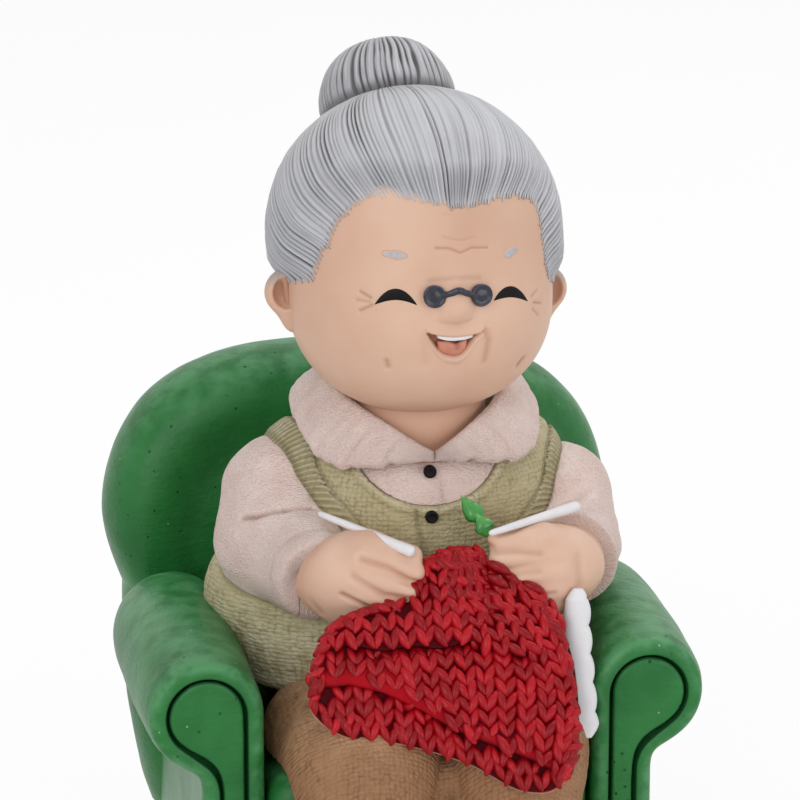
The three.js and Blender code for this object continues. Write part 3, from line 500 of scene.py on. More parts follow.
@dataclass(frozen=True)
class Paint:
    """A coat of paint over cast resin: its colours, gloss and the relief it covers, with painted shade and
    painted highlight.
    """

    name: str
    colour: Colour
    shade: Colour
    # Darker colour that the mesh's shade mask mixes in: painted shade in creases, recesses, under parts and
    # where parts meet.
    wash: Colour
    # Lighter colour: painted highlight on what faces up and on cell crests, and lighter tone at random.
    light: Colour
    roughness: float = 0.5
    cloud_mm: float = 5.0
    coat: float = 0.0
    relief: Relief = Relief.SMOOTH
    depth_mm: float = 0.1
    pits: float = 0.0
    tinted: bool = False
    accent: Colour | None = None
    specular: float = 0.35

    @cache
    def material(self) -> bpy.types.Material:
        """The finish as a Blender material."""
        n = Nodes(f"{self.name}_finish")
        place = n.object_mm()
        cloud = n.noise(place, 1 / self.cloud_mm, 4.0)
        colour = n.mix(n.between(cloud, 0.32, 0.74), self.colour, self.shade)
        colour = self.brightened(n, place, colour)
        height: object = n.times(n.noise(place, 1.6, 5.0), 0.35)
        if self.relief in (Relief.CELLS, Relief.CREPE):
            colour, height = self.woven(n, place, colour)
        if self.relief is Relief.CELLS:
            colour, height = self.ribbed(n, colour, height)
        if self.relief is Relief.STRANDS:
            streak = n.noise(n.vector("weave"), 1.0, 4.0)
            height = n.times(streak, 0.8)
            colour = n.mix(n.between(streak, 0.42, 0.3), colour, self.shade)
            colour = n.mix(n.between(streak, 0.56, 0.74), colour, self.light)
        if self.relief is Relief.BRUSHED:
            stroke = n.add("ShaderNodeMapping", {"Vector": place, "Scale": (0.5, 0.5, 1.6)}).outputs[0]
            height = n.math("ADD", height, n.times(n.noise(stroke, 1.1, 5.0), 0.5))
        if self.pits:
            colour, height = self.pitted(n, place, colour, height)
        if self.tinted:
            tint = n.value("tint")
            colour = n.mix(n.between(tint, 0.45, 0.0), colour, self.shade)
            colour = n.mix(n.between(tint, 0.55, 1.0), colour, self.light)
        if self.accent:
            colour = n.mix(n.value("accent"), colour, self.accent)
        # Painted shade: the mesh's shade mask mixes in the darker colour in creases, recesses and under parts;
        # a few pieces use it for real tone, such as blush and feathered brow edges.
        colour = n.mix(n.between(n.value("wash"), 0.0, 1.0), colour, self.wash)
        bump = n.add("ShaderNodeBump", {"Height": height, "Distance": self.depth_mm * MM, "Strength": 1.0})
        gloss = n.math("ADD", n.times(cloud, 0.16), self.roughness - 0.08)
        surface = n.add("ShaderNodeBsdfPrincipled", {
            "Base Color": colour, "Roughness": gloss, "Normal": bump.outputs[0],
            "Coat Weight": self.coat, "Coat Roughness": 0.25, "Specular IOR Level": self.specular,
        })
        n.add("ShaderNodeOutputMaterial", {0: surface.outputs[0]})
        return n.material

    def brightened(self, n: Nodes, place: Socket, colour: Socket) -> Socket:
        """Painted highlight: the light colour on what faces up, and where the mesh's highlight mask asks for
        it.
        """
        upward = n.parts(n.add("ShaderNodeNewGeometry").outputs["Normal"])[2]
        patch: object = 0.6 if self.relief is Relief.STRANDS else n.between(n.noise(place, 0.3), 0.3, 0.7)
        # Painted highlight on upward faces, where the lamps fall, in noisy patches.
        lit = n.times(n.between(upward, 0.1, 1.0), patch)
        # Painted highlight where the mesh marks it, broken up by noise.
        highlight_patches = n.times(n.value("painted_highlight"), n.between(n.noise(place, 0.5), 0.28, 0.72))
        return n.mix(n.math("ADD", lit, highlight_patches, clamp=True), colour, self.light)

    def woven(self, n: Nodes, place: Socket, colour: Socket) -> tuple[Socket, Socket]:
        """Colour and height of cloth: rows of even cells, or the scattered ones of crepe, with painted shade
        between the cells and painted highlight on their crests.
        """
        even = self.relief is Relief.CELLS
        weave = n.vector("weave")
        sway = n.add("ShaderNodeTexNoise", {"Vector": weave, "Scale": 0.5}).outputs["Color"]
        wobble = n.add("ShaderNodeVectorMath", {0: sway, 1: (0.5, 0.5, 0.5)}).outputs[0]
        vector = n.add("ShaderNodeVectorMath", {0: weave, 1: wobble}).outputs[0]
        distance = n.cells(vector, 1.0, 0.4 if even else 0.9)
        height = n.math("SUBTRACT", n.times(n.noise(vector, 2.5, 2.0), 0.4), distance)
        patchy = n.between(n.noise(place, 0.35), 0.3, 0.62)
        # Painted shade in the crevices between the cells.
        crevice = n.times(n.times(n.between(distance, 0.42, 0.75), patchy), 0.5 if even else 0.22)
        colour = n.mix(crevice, colour, self.wash)
        # Painted highlight on the cells' crests.
        crest = n.times(n.between(distance, 0.3, 0.05), 0.35)
        return n.mix(crest, colour, self.light), height

    def ribbed(self, n: Nodes, colour: Socket, height: Socket) -> tuple[Socket, Socket]:
        """Colour and height with ribs where the mesh asks for them, and painted shade between the ribs."""
        phase, share, _ = n.parts(n.vector("rib"))
        wave = n.times(n.math("SINE", phase), 0.6)
        height = n.math("ADD", height, n.times(n.math("SUBTRACT", wave, height), share))
        # Painted shade between the ribs.
        between_ribs = n.times(n.between(wave, 0.1, -0.5), share)
        return n.mix(n.times(between_ribs, 0.45), colour, self.wash), height

    def pitted(self, n: Nodes, place: Socket, colour: Socket, height: Socket) -> tuple[Socket, Socket]:
        """Colour and height with casting pits here and there, darkened with painted shade, and a few pale
        flecks.
        """
        where = n.between(n.noise(place, 0.16, 2.0), 0.45, 0.62)
        pit = n.times(n.between(n.cells(place, 0.55, 1.0), 0.13, 0.05), where)
        # Painted shade in the pits.
        colour = n.mix(n.times(pit, self.pits), colour, self.wash)
        fleck_place = n.add("ShaderNodeVectorMath", {0: place, 1: (7.7, 3.1, 5.3)}).outputs[0]
        fleck = n.between(n.cells(fleck_place, 0.3, 1.0), 0.045, 0.02)
        return n.mix(n.times(fleck, 0.55), colour, (0.55, 0.7, 0.55)), n.math("SUBTRACT", height, pit)


CHAIR_GREEN = Paint(
    "green_upholstery_paint", (0.022, 0.178, 0.039), (0.012, 0.126, 0.026), (0.005, 0.050, 0.012),
    (0.080, 0.28, 0.110), roughness=0.42, cloud_mm=8.0, coat=0.12, relief=Relief.BRUSHED, depth_mm=0.22,
    pits=0.9, specular=0.2)
DARK_WOOD = Paint(
    "dark_wood_paint", (0.060, 0.026, 0.012), (0.035, 0.014, 0.007), (0.008, 0.004, 0.002),
    (0.10, 0.05, 0.025), roughness=0.45, cloud_mm=3.0, coat=0.1, relief=Relief.BRUSHED)
SKIN = Paint(
    "skin_paint", (0.725, 0.475, 0.35), (0.675, 0.42, 0.30), (0.36, 0.145, 0.08),
    (0.75, 0.52, 0.40), cloud_mm=9.0, depth_mm=0.04, accent=(0.38, 0.36, 0.36))
HAIR = Paint(
    "silver_hair_paint", (0.50, 0.505, 0.53), (0.41, 0.41, 0.435), (0.115, 0.11, 0.118),
    (0.70, 0.70, 0.73), cloud_mm=14.0, relief=Relief.STRANDS, depth_mm=0.12)
BROW = Paint(
    "brow_paint", (0.50, 0.49, 0.53), (0.44, 0.41, 0.43), (0.66, 0.43, 0.315),
    (0.60, 0.60, 0.66), roughness=0.6, cloud_mm=0.7)
BLOUSE = Paint(
    "blouse_paint", (0.77, 0.61, 0.56), (0.72, 0.55, 0.50), (0.40, 0.26, 0.205),
    (0.82, 0.70, 0.65), roughness=0.62, cloud_mm=6.0, relief=Relief.CREPE, depth_mm=0.15)
OLIVE_KNIT = Paint(
    "olive_knit_paint", (0.50, 0.435, 0.255), (0.43, 0.37, 0.205), (0.155, 0.125, 0.06),
    (0.60, 0.54, 0.36), roughness=0.65, relief=Relief.CELLS, depth_mm=0.22)
BROWN_WEAVE = Paint(
    "brown_weave_paint", (0.38, 0.20, 0.10), (0.31, 0.155, 0.075), (0.10, 0.040, 0.016),
    (0.50, 0.30, 0.17), roughness=0.7, relief=Relief.CELLS, depth_mm=0.25)
RED_WOOL = Paint(
    "red_wool_paint", (0.37, 0.002, 0.008), (0.25, 0.001, 0.005), (0.045, 0.001, 0.003),
    (0.46, 0.008, 0.016), roughness=0.3, cloud_mm=3.0, depth_mm=0.12, tinted=True,
    accent=(0.50, 0.25, 0.18), specular=0.22)
RED_UNDERLAY = replace(RED_WOOL, roughness=0.6, specular=0.08)
WHITE = Paint(
    "white_paint", (0.80, 0.79, 0.81), (0.74, 0.73, 0.76), (0.42, 0.40, 0.42),
    (0.84, 0.83, 0.85), roughness=0.55, cloud_mm=3.0, depth_mm=0.06)
BLACK = Paint(
    "black_paint", (0.002, 0.002, 0.002), (0.004, 0.003, 0.003), (0.001, 0.001, 0.001),
    (0.006, 0.006, 0.007), roughness=0.45, cloud_mm=1.5, specular=0.15)
# The lens's second and light colours are bluish: its fine clouds and upward faces carry painted reflections.
DARK_LENS = Paint(
    "dark_lens_paint", (0.007, 0.008, 0.016), (0.022, 0.022, 0.048), (0.002, 0.002, 0.003),
    (0.05, 0.05, 0.11), roughness=0.18, cloud_mm=0.7, coat=0.3)
LEAF_GREEN = Paint(
    "leaf_green_paint", (0.022, 0.26, 0.022), (0.012, 0.17, 0.012), (0.004, 0.05, 0.004),
    (0.10, 0.42, 0.09), roughness=0.22, cloud_mm=1.0, coat=0.6)
MOUTH_PINK = Paint(
    "mouth_pink_paint", (0.58, 0.235, 0.155), (0.52, 0.19, 0.125), (0.25, 0.06, 0.04),
    (0.66, 0.31, 0.22), roughness=0.4, cloud_mm=2.0)
SLIPPER_RED = Paint(
    "slipper_red_paint", (0.26, 0.030, 0.038), (0.18, 0.02, 0.026), (0.05, 0.006, 0.008),
    (0.34, 0.06, 0.07), roughness=0.6, cloud_mm=3.0, relief=Relief.BRUSHED, depth_mm=0.12)


@dataclass
class Piece:
    """One visible piece of the figurine, named after the solid that it stands for, with _skin at the end."""

    name: str
    shape: Shape
    placement: Placement
    paint: Paint

    def build(self) -> bpy.types.Object:
        """Makes the object, hands it to the frame and returns it."""
        points = self.placement.out(self.shape.points) * MM
        mesh = bpy.data.meshes.new(self.name)
        mesh.from_pydata(points.tolist(), [], self.shape.outward().faces)
        mesh.shade_smooth()
        for key, values in self.shape.values.items():
            set_values(mesh, key, values)
        mesh.materials.append(self.paint.material())
        mesh.update()
        item = linked(bpy.data.objects.new(self.name, mesh))
        return hand_over(item, (self.name.removesuffix("_skin"),))


def linked(item: bpy.types.Object) -> bpy.types.Object:
    """The object, in the scene."""
    bpy.context.scene.collection.objects.link(item)
    return item


def set_values(mesh: bpy.types.Mesh, key: str, values: Points) -> None:
    """Gives each of a mesh's points a value, or a vector where values has three columns."""
    kind, slot = ("FLOAT_VECTOR", "vector") if values.ndim == 2 else ("FLOAT", "value")
    attribute = mesh.attributes.new(key, kind, "POINT")
    attribute.data.foreach_set(slot, values.astype(np.float32).ravel())


def hand_over(item: bpy.types.Object, nodes: Sequence[str]) -> bpy.types.Object:
    """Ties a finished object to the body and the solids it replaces."""
    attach(item, "root")
    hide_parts(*nodes)
    LOG.info("%s: %d points, stands for %s", item.name, len(item.data.vertices), ", ".join(nodes))
    return item


# The armchair


@dataclass
class Armchair:
    """The round-armed chair: back, base, cushion, arms with inset front panels, and bun feet."""

    foot_height: float = 6.0
    foot_radius: float = 3.4
    arm_height: float = 43.6
    arm_front: float = -29.0
    arm_back: float = 19.0
    seat_half_width: float = 19.9
    arm_thickness: float = 7.5
    neck_height: float = 25.5
    roll_radius: float = 6.9
    roll_swell: float = 0.6
    roll_rear_drop: float = 3.2
    roll_middle: float = -4.0
    wrap_degrees: float = 50.0
    arm_edge: float = 1.5
    panel_inset: float = 2.1
    panel_depth: float = 1.3
    back_shift: float = -0.5
    back_half_width: float = 34.1
    back_middle: float = 37.0
    back_rise: float = 31.2
    back_fall: float = 45.0
    back_squareness: float = 3.1
    back_waist: float = 0.09
    back_half_depth: float = 9.5
    back_y: float = 24.0
    back_wrap: float = 2.4
    rim_power: float = 10.3

    def roll_at(self, y: float) -> float:
        """Radius of an arm's roll at a distance from the front."""
        ahead = y < self.roll_middle
        share = (y - self.roll_middle) / ((self.arm_front if ahead else self.arm_back) - self.roll_middle)
        drop = self.roll_swell * share**2 if ahead else self.roll_rear_drop * share**3
        return self.roll_radius + self.roll_swell - drop

    def arm_outline(self, inset: float, roll: float) -> Points:
        """The right arm's section in x and z, drawn in by an inset, with 96 points."""
        inner, outer = self.seat_half_width + inset, self.seat_half_width + self.arm_thickness - inset
        radius = roll - inset
        cx = self.seat_half_width + roll
        cz = self.arm_height - 2 * (self.roll_radius + self.roll_swell - roll) - roll
        wrap = math.radians(self.wrap_degrees)
        turn = np.linspace(math.pi, -wrap, 44)
        arc = np.stack([cx + radius * np.cos(turn), cz + radius * np.sin(turn)], axis=1)
        lead = roll / 2
        p0 = arc[-1]
        p1 = p0 - lead * np.array([math.sin(wrap), math.cos(wrap)])
        p3 = np.array([outer, self.neck_height])
        p2 = p3 + [0, lead]
        t = np.linspace(0, 1, 22)[1:, None]
        bend = (1 - t) ** 3 * p0 + 3 * t * (1 - t) ** 2 * p1 + 3 * t**2 * (1 - t) * p2 + t**3 * p3
        foot = self.foot_height + inset
        down = np.stack([np.full(14, outer), np.linspace(self.neck_height, foot, 15)[1:]], axis=1)
        under = np.stack([np.linspace(outer, inner, 6)[1:], np.full(5, foot)], axis=1)
        rise = np.stack([np.full(11, inner), np.linspace(foot, cz, 13)[1:-1]], axis=1)
        return np.vstack([arc, bend, down, under, rise])

    def back_share(self, p: Points) -> Points:
        """How far out in the back's outline points lie, 1 on its edge."""
        waist = 1 - self.back_waist * np.clip((50 - p[:, 2]) / 13, 0, 1) ** 2
        tall = np.where(p[:, 2] > self.back_middle, self.back_rise, self.back_fall)
        n = self.back_squareness
        wide = np.abs(p[:, 0] - self.back_shift) / (self.back_half_width * waist)
        return (wide**n + (np.abs(p[:, 2] - self.back_middle) / tall) ** n) ** (1 / n)

    def back_field(self, p: Points) -> Points:
        """The padded back, with a soft valley inside its rim."""
        share = self.back_share(p)
        across = (p[:, 0] - self.back_shift) / self.back_half_width
        middle = self.back_y + self.back_wrap * (1 - across**2)
        front = p[:, 1] < middle
        valley = 0.09 * bell(share, 0.70, 0.10) * front
        dip = 0.05 * smooth_step(-share, -0.68, -0.5) * front
        depth = np.abs(p[:, 1] - middle) / self.back_half_depth
        solid = np.sqrt(share**self.rim_power + (depth + valley + dip) ** 2) - 1
        return np.maximum(solid * self.back_half_depth, self.foot_height - p[:, 2])

    def lumps(self, points: Points, seed: int) -> Points:
        """Uneven heights of a hand-finished casting."""
        return 0.16 * hill_noise(points, 9.0, seed) + 0.05 * hill_noise(points, 2.4, seed + 1)

    def arm(self, side: int) -> Shape:
        """One arm: a roll that swells and falls, with a rounded front border and a pocket for the panel."""
        pocket, roll = self.panel_inset, self.roll_at(self.arm_front)
        rows = [
            (pocket, self.panel_depth), (pocket - 0.02, 0.28), (pocket - 0.12, 0.08), (1.75, 0.02),
            (1.35, 0.0), (0.9, 0.08), (0.5, 0.3), (0.2, 0.68), (0.05, 1.1), (0.0, self.arm_edge),
        ]
        outlines = [
            np.insert(self.arm_outline(inset, roll), 1, self.arm_front + back, axis=1) for inset, back in rows
        ]
        ends = outlines[-1]
        start = self.arm_front + self.arm_edge
        rear = np.full(len(ends), self.arm_back)
        for _ in range(30):
            probe = np.stack([ends[:, 0], rear, ends[:, 2]], axis=1)
            rear = np.where(self.back_field(probe) < 0.12, rear - 0.25, rear)
        for share in np.linspace(0, 1, 64)[1:]:
            y = start + share * (rear - start)
            ring = np.array([self.arm_outline(0.0, self.roll_at(v))[j] for j, v in enumerate(y)])
            outlines.append(np.insert(ring, 1, y, axis=1))
        centre = vec(self.seat_half_width + self.roll_radius * 0.6, 0, 30)
        front = centre + [0, self.arm_front + self.panel_depth, 0]
        shape = ring_shape(outlines, front, centre + [0, float(rear.mean()), 0])
        count = len(outlines[0])
        body = np.arange(len(shape.points)) >= count * len(rows)
        away = np.array(shape.points) - centre
        away[:, 1] = 0
        away /= np.linalg.norm(away, axis=1, keepdims=True) + 1e-9
        fade = smooth_step(shape.points[:, 1], self.arm_front + 1.4, self.arm_front + 6)
        shape = shape.pushed(away, self.lumps(shape.points * [side, 1, 1], 3) * fade * body)
        # Painted shade in the pocket round the panel and at the end points.
        wash = np.zeros(len(shape.points))
        wash[:count * 2] = 0.8
        wash[count * 2:count * 3] = 0.45
        wash[-1] = wash[-2] = 0.8
        shape.values["wash"] = wash
        # Painted highlight along the rounded front border.
        shape.values["painted_highlight"] = bell(np.arange(len(shape.points)), count * 6.5, count * 2.2)
        shape.points[:, 0] *= side
        return shape

    def inset_at(self, p: Points) -> Points:
        """How far inside an arm's front outline points lie, seen from the front."""
        outline = self.arm_outline(0.0, self.roll_at(self.arm_front))
        outline = np.vstack([outline, outline[:1]])
        flat = p[:, [0, 2]]
        within = np.zeros(len(p), bool)
        for a, b in zip(outline[:-1], outline[1:]):
            run, rise = b - a
            spans = (a[1] > flat[:, 1]) != (b[1] > flat[:, 1])
            within ^= spans & (flat[:, 0] < a[0] + run * (flat[:, 1] - a[1]) / (rise or 1.0))
        gap = line_gap(flat, outline)
        return np.where(within, gap, -gap)

    def panel(self, side: int) -> Shape:
        """The slightly crowned panel inside an arm's border."""
        gap = self.panel_inset + 0.36
        front, rear, round_off = self.arm_front + 0.12, self.arm_front + self.panel_depth - 0.05, 0.45
        middle, half = (front + rear) / 2, (rear - front) / 2

        def surface(p: Points) -> Points:
            inset = self.inset_at(p) + 0.1 * hill_noise(p * [1, 0, 1], 3.0, 7)
            crown = 0.14 * smooth_step(inset, gap, gap + 2.5)
            thick = np.abs(p[:, 1] - middle + crown / 2) - half - crown / 2 + round_off
            q = np.stack([gap - inset + round_off, thick])
            return np.hypot(*np.maximum(q, 0)) + np.minimum(q.max(0), 0) - round_off

        low = vec(self.seat_half_width + gap, front - 0.3, self.foot_height + gap)
        high = vec(self.seat_half_width + 2 * self.roll_radius, rear + 0.1, self.arm_height)
        shape = voxel_shape(surface, low, high, 0.22)
        p = shape.points
        # Painted shade along the panel's rim, in the groove next to the border.
        shape.values["wash"] = 0.6 * smooth_step(-self.inset_at(p), -gap - 0.35, -gap)
        rough = 0.07 * hill_noise(p * [side, 1, 1], 3.5, 8) + 0.04 * hill_noise(p * [side, 1, 1], 1.2, 9)
        shape.points[:, 1] += rough * smooth_step(-p[:, 1], -rear + 0.1, -front - 0.3)
        shape.points[:, 0] *= side
        return shape

    def padded_box(self, low: Points, high: Points, radius: float, crown: float, seed: int) -> Shape:
        """A cast pad with rounded edges and a crowned top, cut short by the back."""
        middle, half = (low + high) / 2, (high - low) / 2
        box = rounded_box(low, high, radius)

        def surface(p: Points) -> Points:
            q = (p - middle) / half
            lift = crown * (1 - np.clip(q[:, 0], -1, 1) ** 2) * (1 - np.clip(q[:, 1], -1, 1) ** 2)
            pad = box(p - np.outer(lift * (q[:, 2] > 0), [0, 0, 1]))
            return np.maximum(pad, 0.12 - self.back_field(p))

        shape = voxel_shape(surface, low, high + [0, 0, crown], 0.4)
        normals = slopes(surface, shape.points)
        return shape.pushed(normals * [1, 1, 0.3], 0.5 * self.lumps(shape.points, seed) - 0.05)

    def foot(self, x: float, y: float) -> Shape:
        """A turned bun foot."""
        r, h = self.foot_radius, self.foot_height - 0.3
        turn = np.linspace(-0.85, 1.15, 18)
        belly = [(0.78 * r + 0.22 * r * math.cos(a), h * (0.36 + 0.36 * math.sin(a))) for a in turn]
        neck = [(0.8 * r, 0.8 * h), (0.8 * r, h - 0.1), (0.76 * r, h), (0, h)]
        shape = lathe_shape([(0, 0), (0.6 * r, 0), (0.72 * r, 0.02), *belly, *neck], 40)
        shape.points += [x, y, 0]
        return shape

    def build(self) -> None:
        """Builds and dresses the chair's pieces."""
        back = voxel_shape(self.back_field, vec(-34.6, 13, 6), vec(34.6, 36.5, 68.6), 0.5)
        normals = slopes(self.back_field, back.points, 0.2)
        back = back.pushed(normals, self.lumps(back.points, 1) * (back.points[:, 2] > 6.4) - 0.06)
        share = self.back_share(back.points)
        valley, inside = bell(share, 0.7, 0.07), smooth_step(-share, -0.66, -0.4)
        front = back.points[:, 1] < self.back_y
        # Painted shade in the valley inside the rim and over the back's inner face.
        back.values["wash"] = 0.35 * valley * front + 0.25 * inside * front
        Piece("chair_back_skin", back, CHAIR, CHAIR_GREEN).build()
        half = self.seat_half_width - 0.3
        base = self.padded_box(vec(-half, -26.5, 6), vec(half, 30, 16), 1.0, 0.0, 12)
        Piece("chair_base_skin", base, CHAIR, CHAIR_GREEN).build()
        cushion = self.padded_box(vec(-half, -30, 16.3), vec(half, 30, 27.6), 3.4, 0.4, 14)
        Piece("seat_cushion_skin", cushion, CHAIR, CHAIR_GREEN).build()
        front_x = self.seat_half_width + self.arm_thickness - self.foot_radius - 0.3
        rear_x = self.seat_half_width - 1
        for name, side in SIDES:
            Piece(f"chair_arm_{name}_skin", self.arm(side), CHAIR, CHAIR_GREEN).build()
            Piece(f"arm_front_panel_{name}_skin", self.panel(side), CHAIR, CHAIR_GREEN).build()
            for end, x, y in (("front", front_x, FRONT_FOOT_Y), ("rear", rear_x, self.back_y)):
                Piece(f"foot_{end}_{name}_skin", self.foot(side * x, y), CHAIR, DARK_WOOD).build()


# The figure's body


@dataclass
class Crease:
    """A pressed line: its knots, width and depth, and how dark its painted shade is."""

    knots: Sequence[tuple[float, ...]]
    width: float
    depth: float
    dark: float = 0.6

    def reach(self, p: Points) -> Points:
        """How strongly each point lies in the line, 1 on it, fading at its ends."""
        return bell(line_gap(p, np.array(self.knots, float)), 0, self.width)


def pressed(p: Points, creases: Sequence[Crease]) -> tuple[Points, Points]:
    """Height change and painted shade of several creases at points."""
    height, wash = np.zeros(len(p)), np.zeros(len(p))
    for crease in creases:
        near = crease.reach(p)
        height -= crease.depth * near
        wash = np.maximum(wash, crease.dark * near)
    return height, wash


def uneven_strands(phase: Points, count: int, seed: int) -> Points:
    """How deep the groove beside each strand is, different from strand to strand."""
    depths = np.random.default_rng(seed).uniform(0.3, 1.45, count)
    return depths[np.floor(phase / (2 * math.pi)).astype(int) % count]


@dataclass
class Side:
    """The sizes that differ between the two arms."""

    name: str
    sign: int
    shoulder: Points
    elbow: Points
    wrist: Points
    shoulder_radius: float
    elbow_radius: float
    cuff_reach: float
    palm: Points
    fist: Points
    reach: float
    slope: float
    needle: tuple[Points, Points]
    creases: Sequence[Crease]
    finger_lines: Sequence[Crease]


LEFT = Side(
    "left", -1, shoulder=vec(-16.4, -4, 27.7), elbow=vec(-17, -8, 22.8), wrist=vec(-15, -18.2, 21.8),
    shoulder_radius=7.7, elbow_radius=8.0, cuff_reach=3.2,
    palm=vec(-9.9, -22, 21.6), fist=vec(6.4, 4.3, 6.2), reach=6.0, slope=-1.7,
    needle=(vec(-14.2, -18.4, 29.1), vec(-4, -26.6, 26)),
    creases=[
        Crease([(-22.4, -12.4, 27.2), (-21.2, -13.7, 27.7), (-17.7, -14.7, 28.6), (-14.4, -14.4, 28.6)],
               0.42, 0.55, 0.75),
        Crease([(-24.6, -7, 17.5), (-22.4, -12.6, 16.2), (-19, -15, 15.4)], 1.0, 0.25, 0.15),
        Crease([(-24.9, -6, 20.5), (-23.6, -11.6, 19.2)], 0.9, 0.2, 0.1),
    ],
    finger_lines=[
        Crease([(-10.2, 25.5), (-7.3, 24.4), (-5, 22.8), (-3.1, 22.1)], 0.5, 0.38, 0.42),
        Crease([(-11.3, 23.4), (-9, 21.8), (-7.6, 20.9), (-4.6, 20.4)], 0.5, 0.34, 0.34),
        Crease([(-12.6, 21.1), (-10.5, 20.1), (-8.4, 18.9)], 0.32, 0.4, 0.6),
        Crease([(-16.1, 19.5), (-14.9, 18.1)], 0.5, 0.2, 0.45),
    ])
RIGHT = Side(
    "right", 1, shoulder=vec(18.1, -4, 25.5), elbow=vec(18.3, -7.5, 20.3), wrist=vec(17.2, -17, 21.4),
    shoulder_radius=7.2, elbow_radius=6.9, cuff_reach=1.0,
    palm=vec(13.4, -22, 22), fist=vec(6.8, 4.3, 5.2), reach=6.9, slope=-0.4,
    needle=(vec(17.8, -18.2, 28.4), vec(5.1, -26.6, 27.9)),
    creases=[
        Crease([(15.6, -13.2, 26.6), (18.8, -12.1, 27.6), (22.2, -10.2, 28.2)], 0.42, 0.5, 0.7),
        Crease([(25.4, -6, 19.5), (24.4, -11.6, 18.4)], 0.9, 0.2, 0.1),
    ],
    finger_lines=[
        Crease([(5.2, 25.9), (8.4, 25.7), (11.2, 25.2)], 0.55, 0.36, 0.38),
        Crease([(7.2, 22.9), (11.0, 22.95)], 0.5, 0.3, 0.3),
        Crease([(10.8, 20.0), (13.0, 20.15)], 0.3, 0.25, 0.4),
        Crease([(6.4, 27.5), (8.5, 27.6), (11.0, 28.0)], 0.35, 0.25, 0.35),
        Crease([(16.2, 24.2), (16.4, 20.8)], 0.7, 0.2, 0.3),
    ])


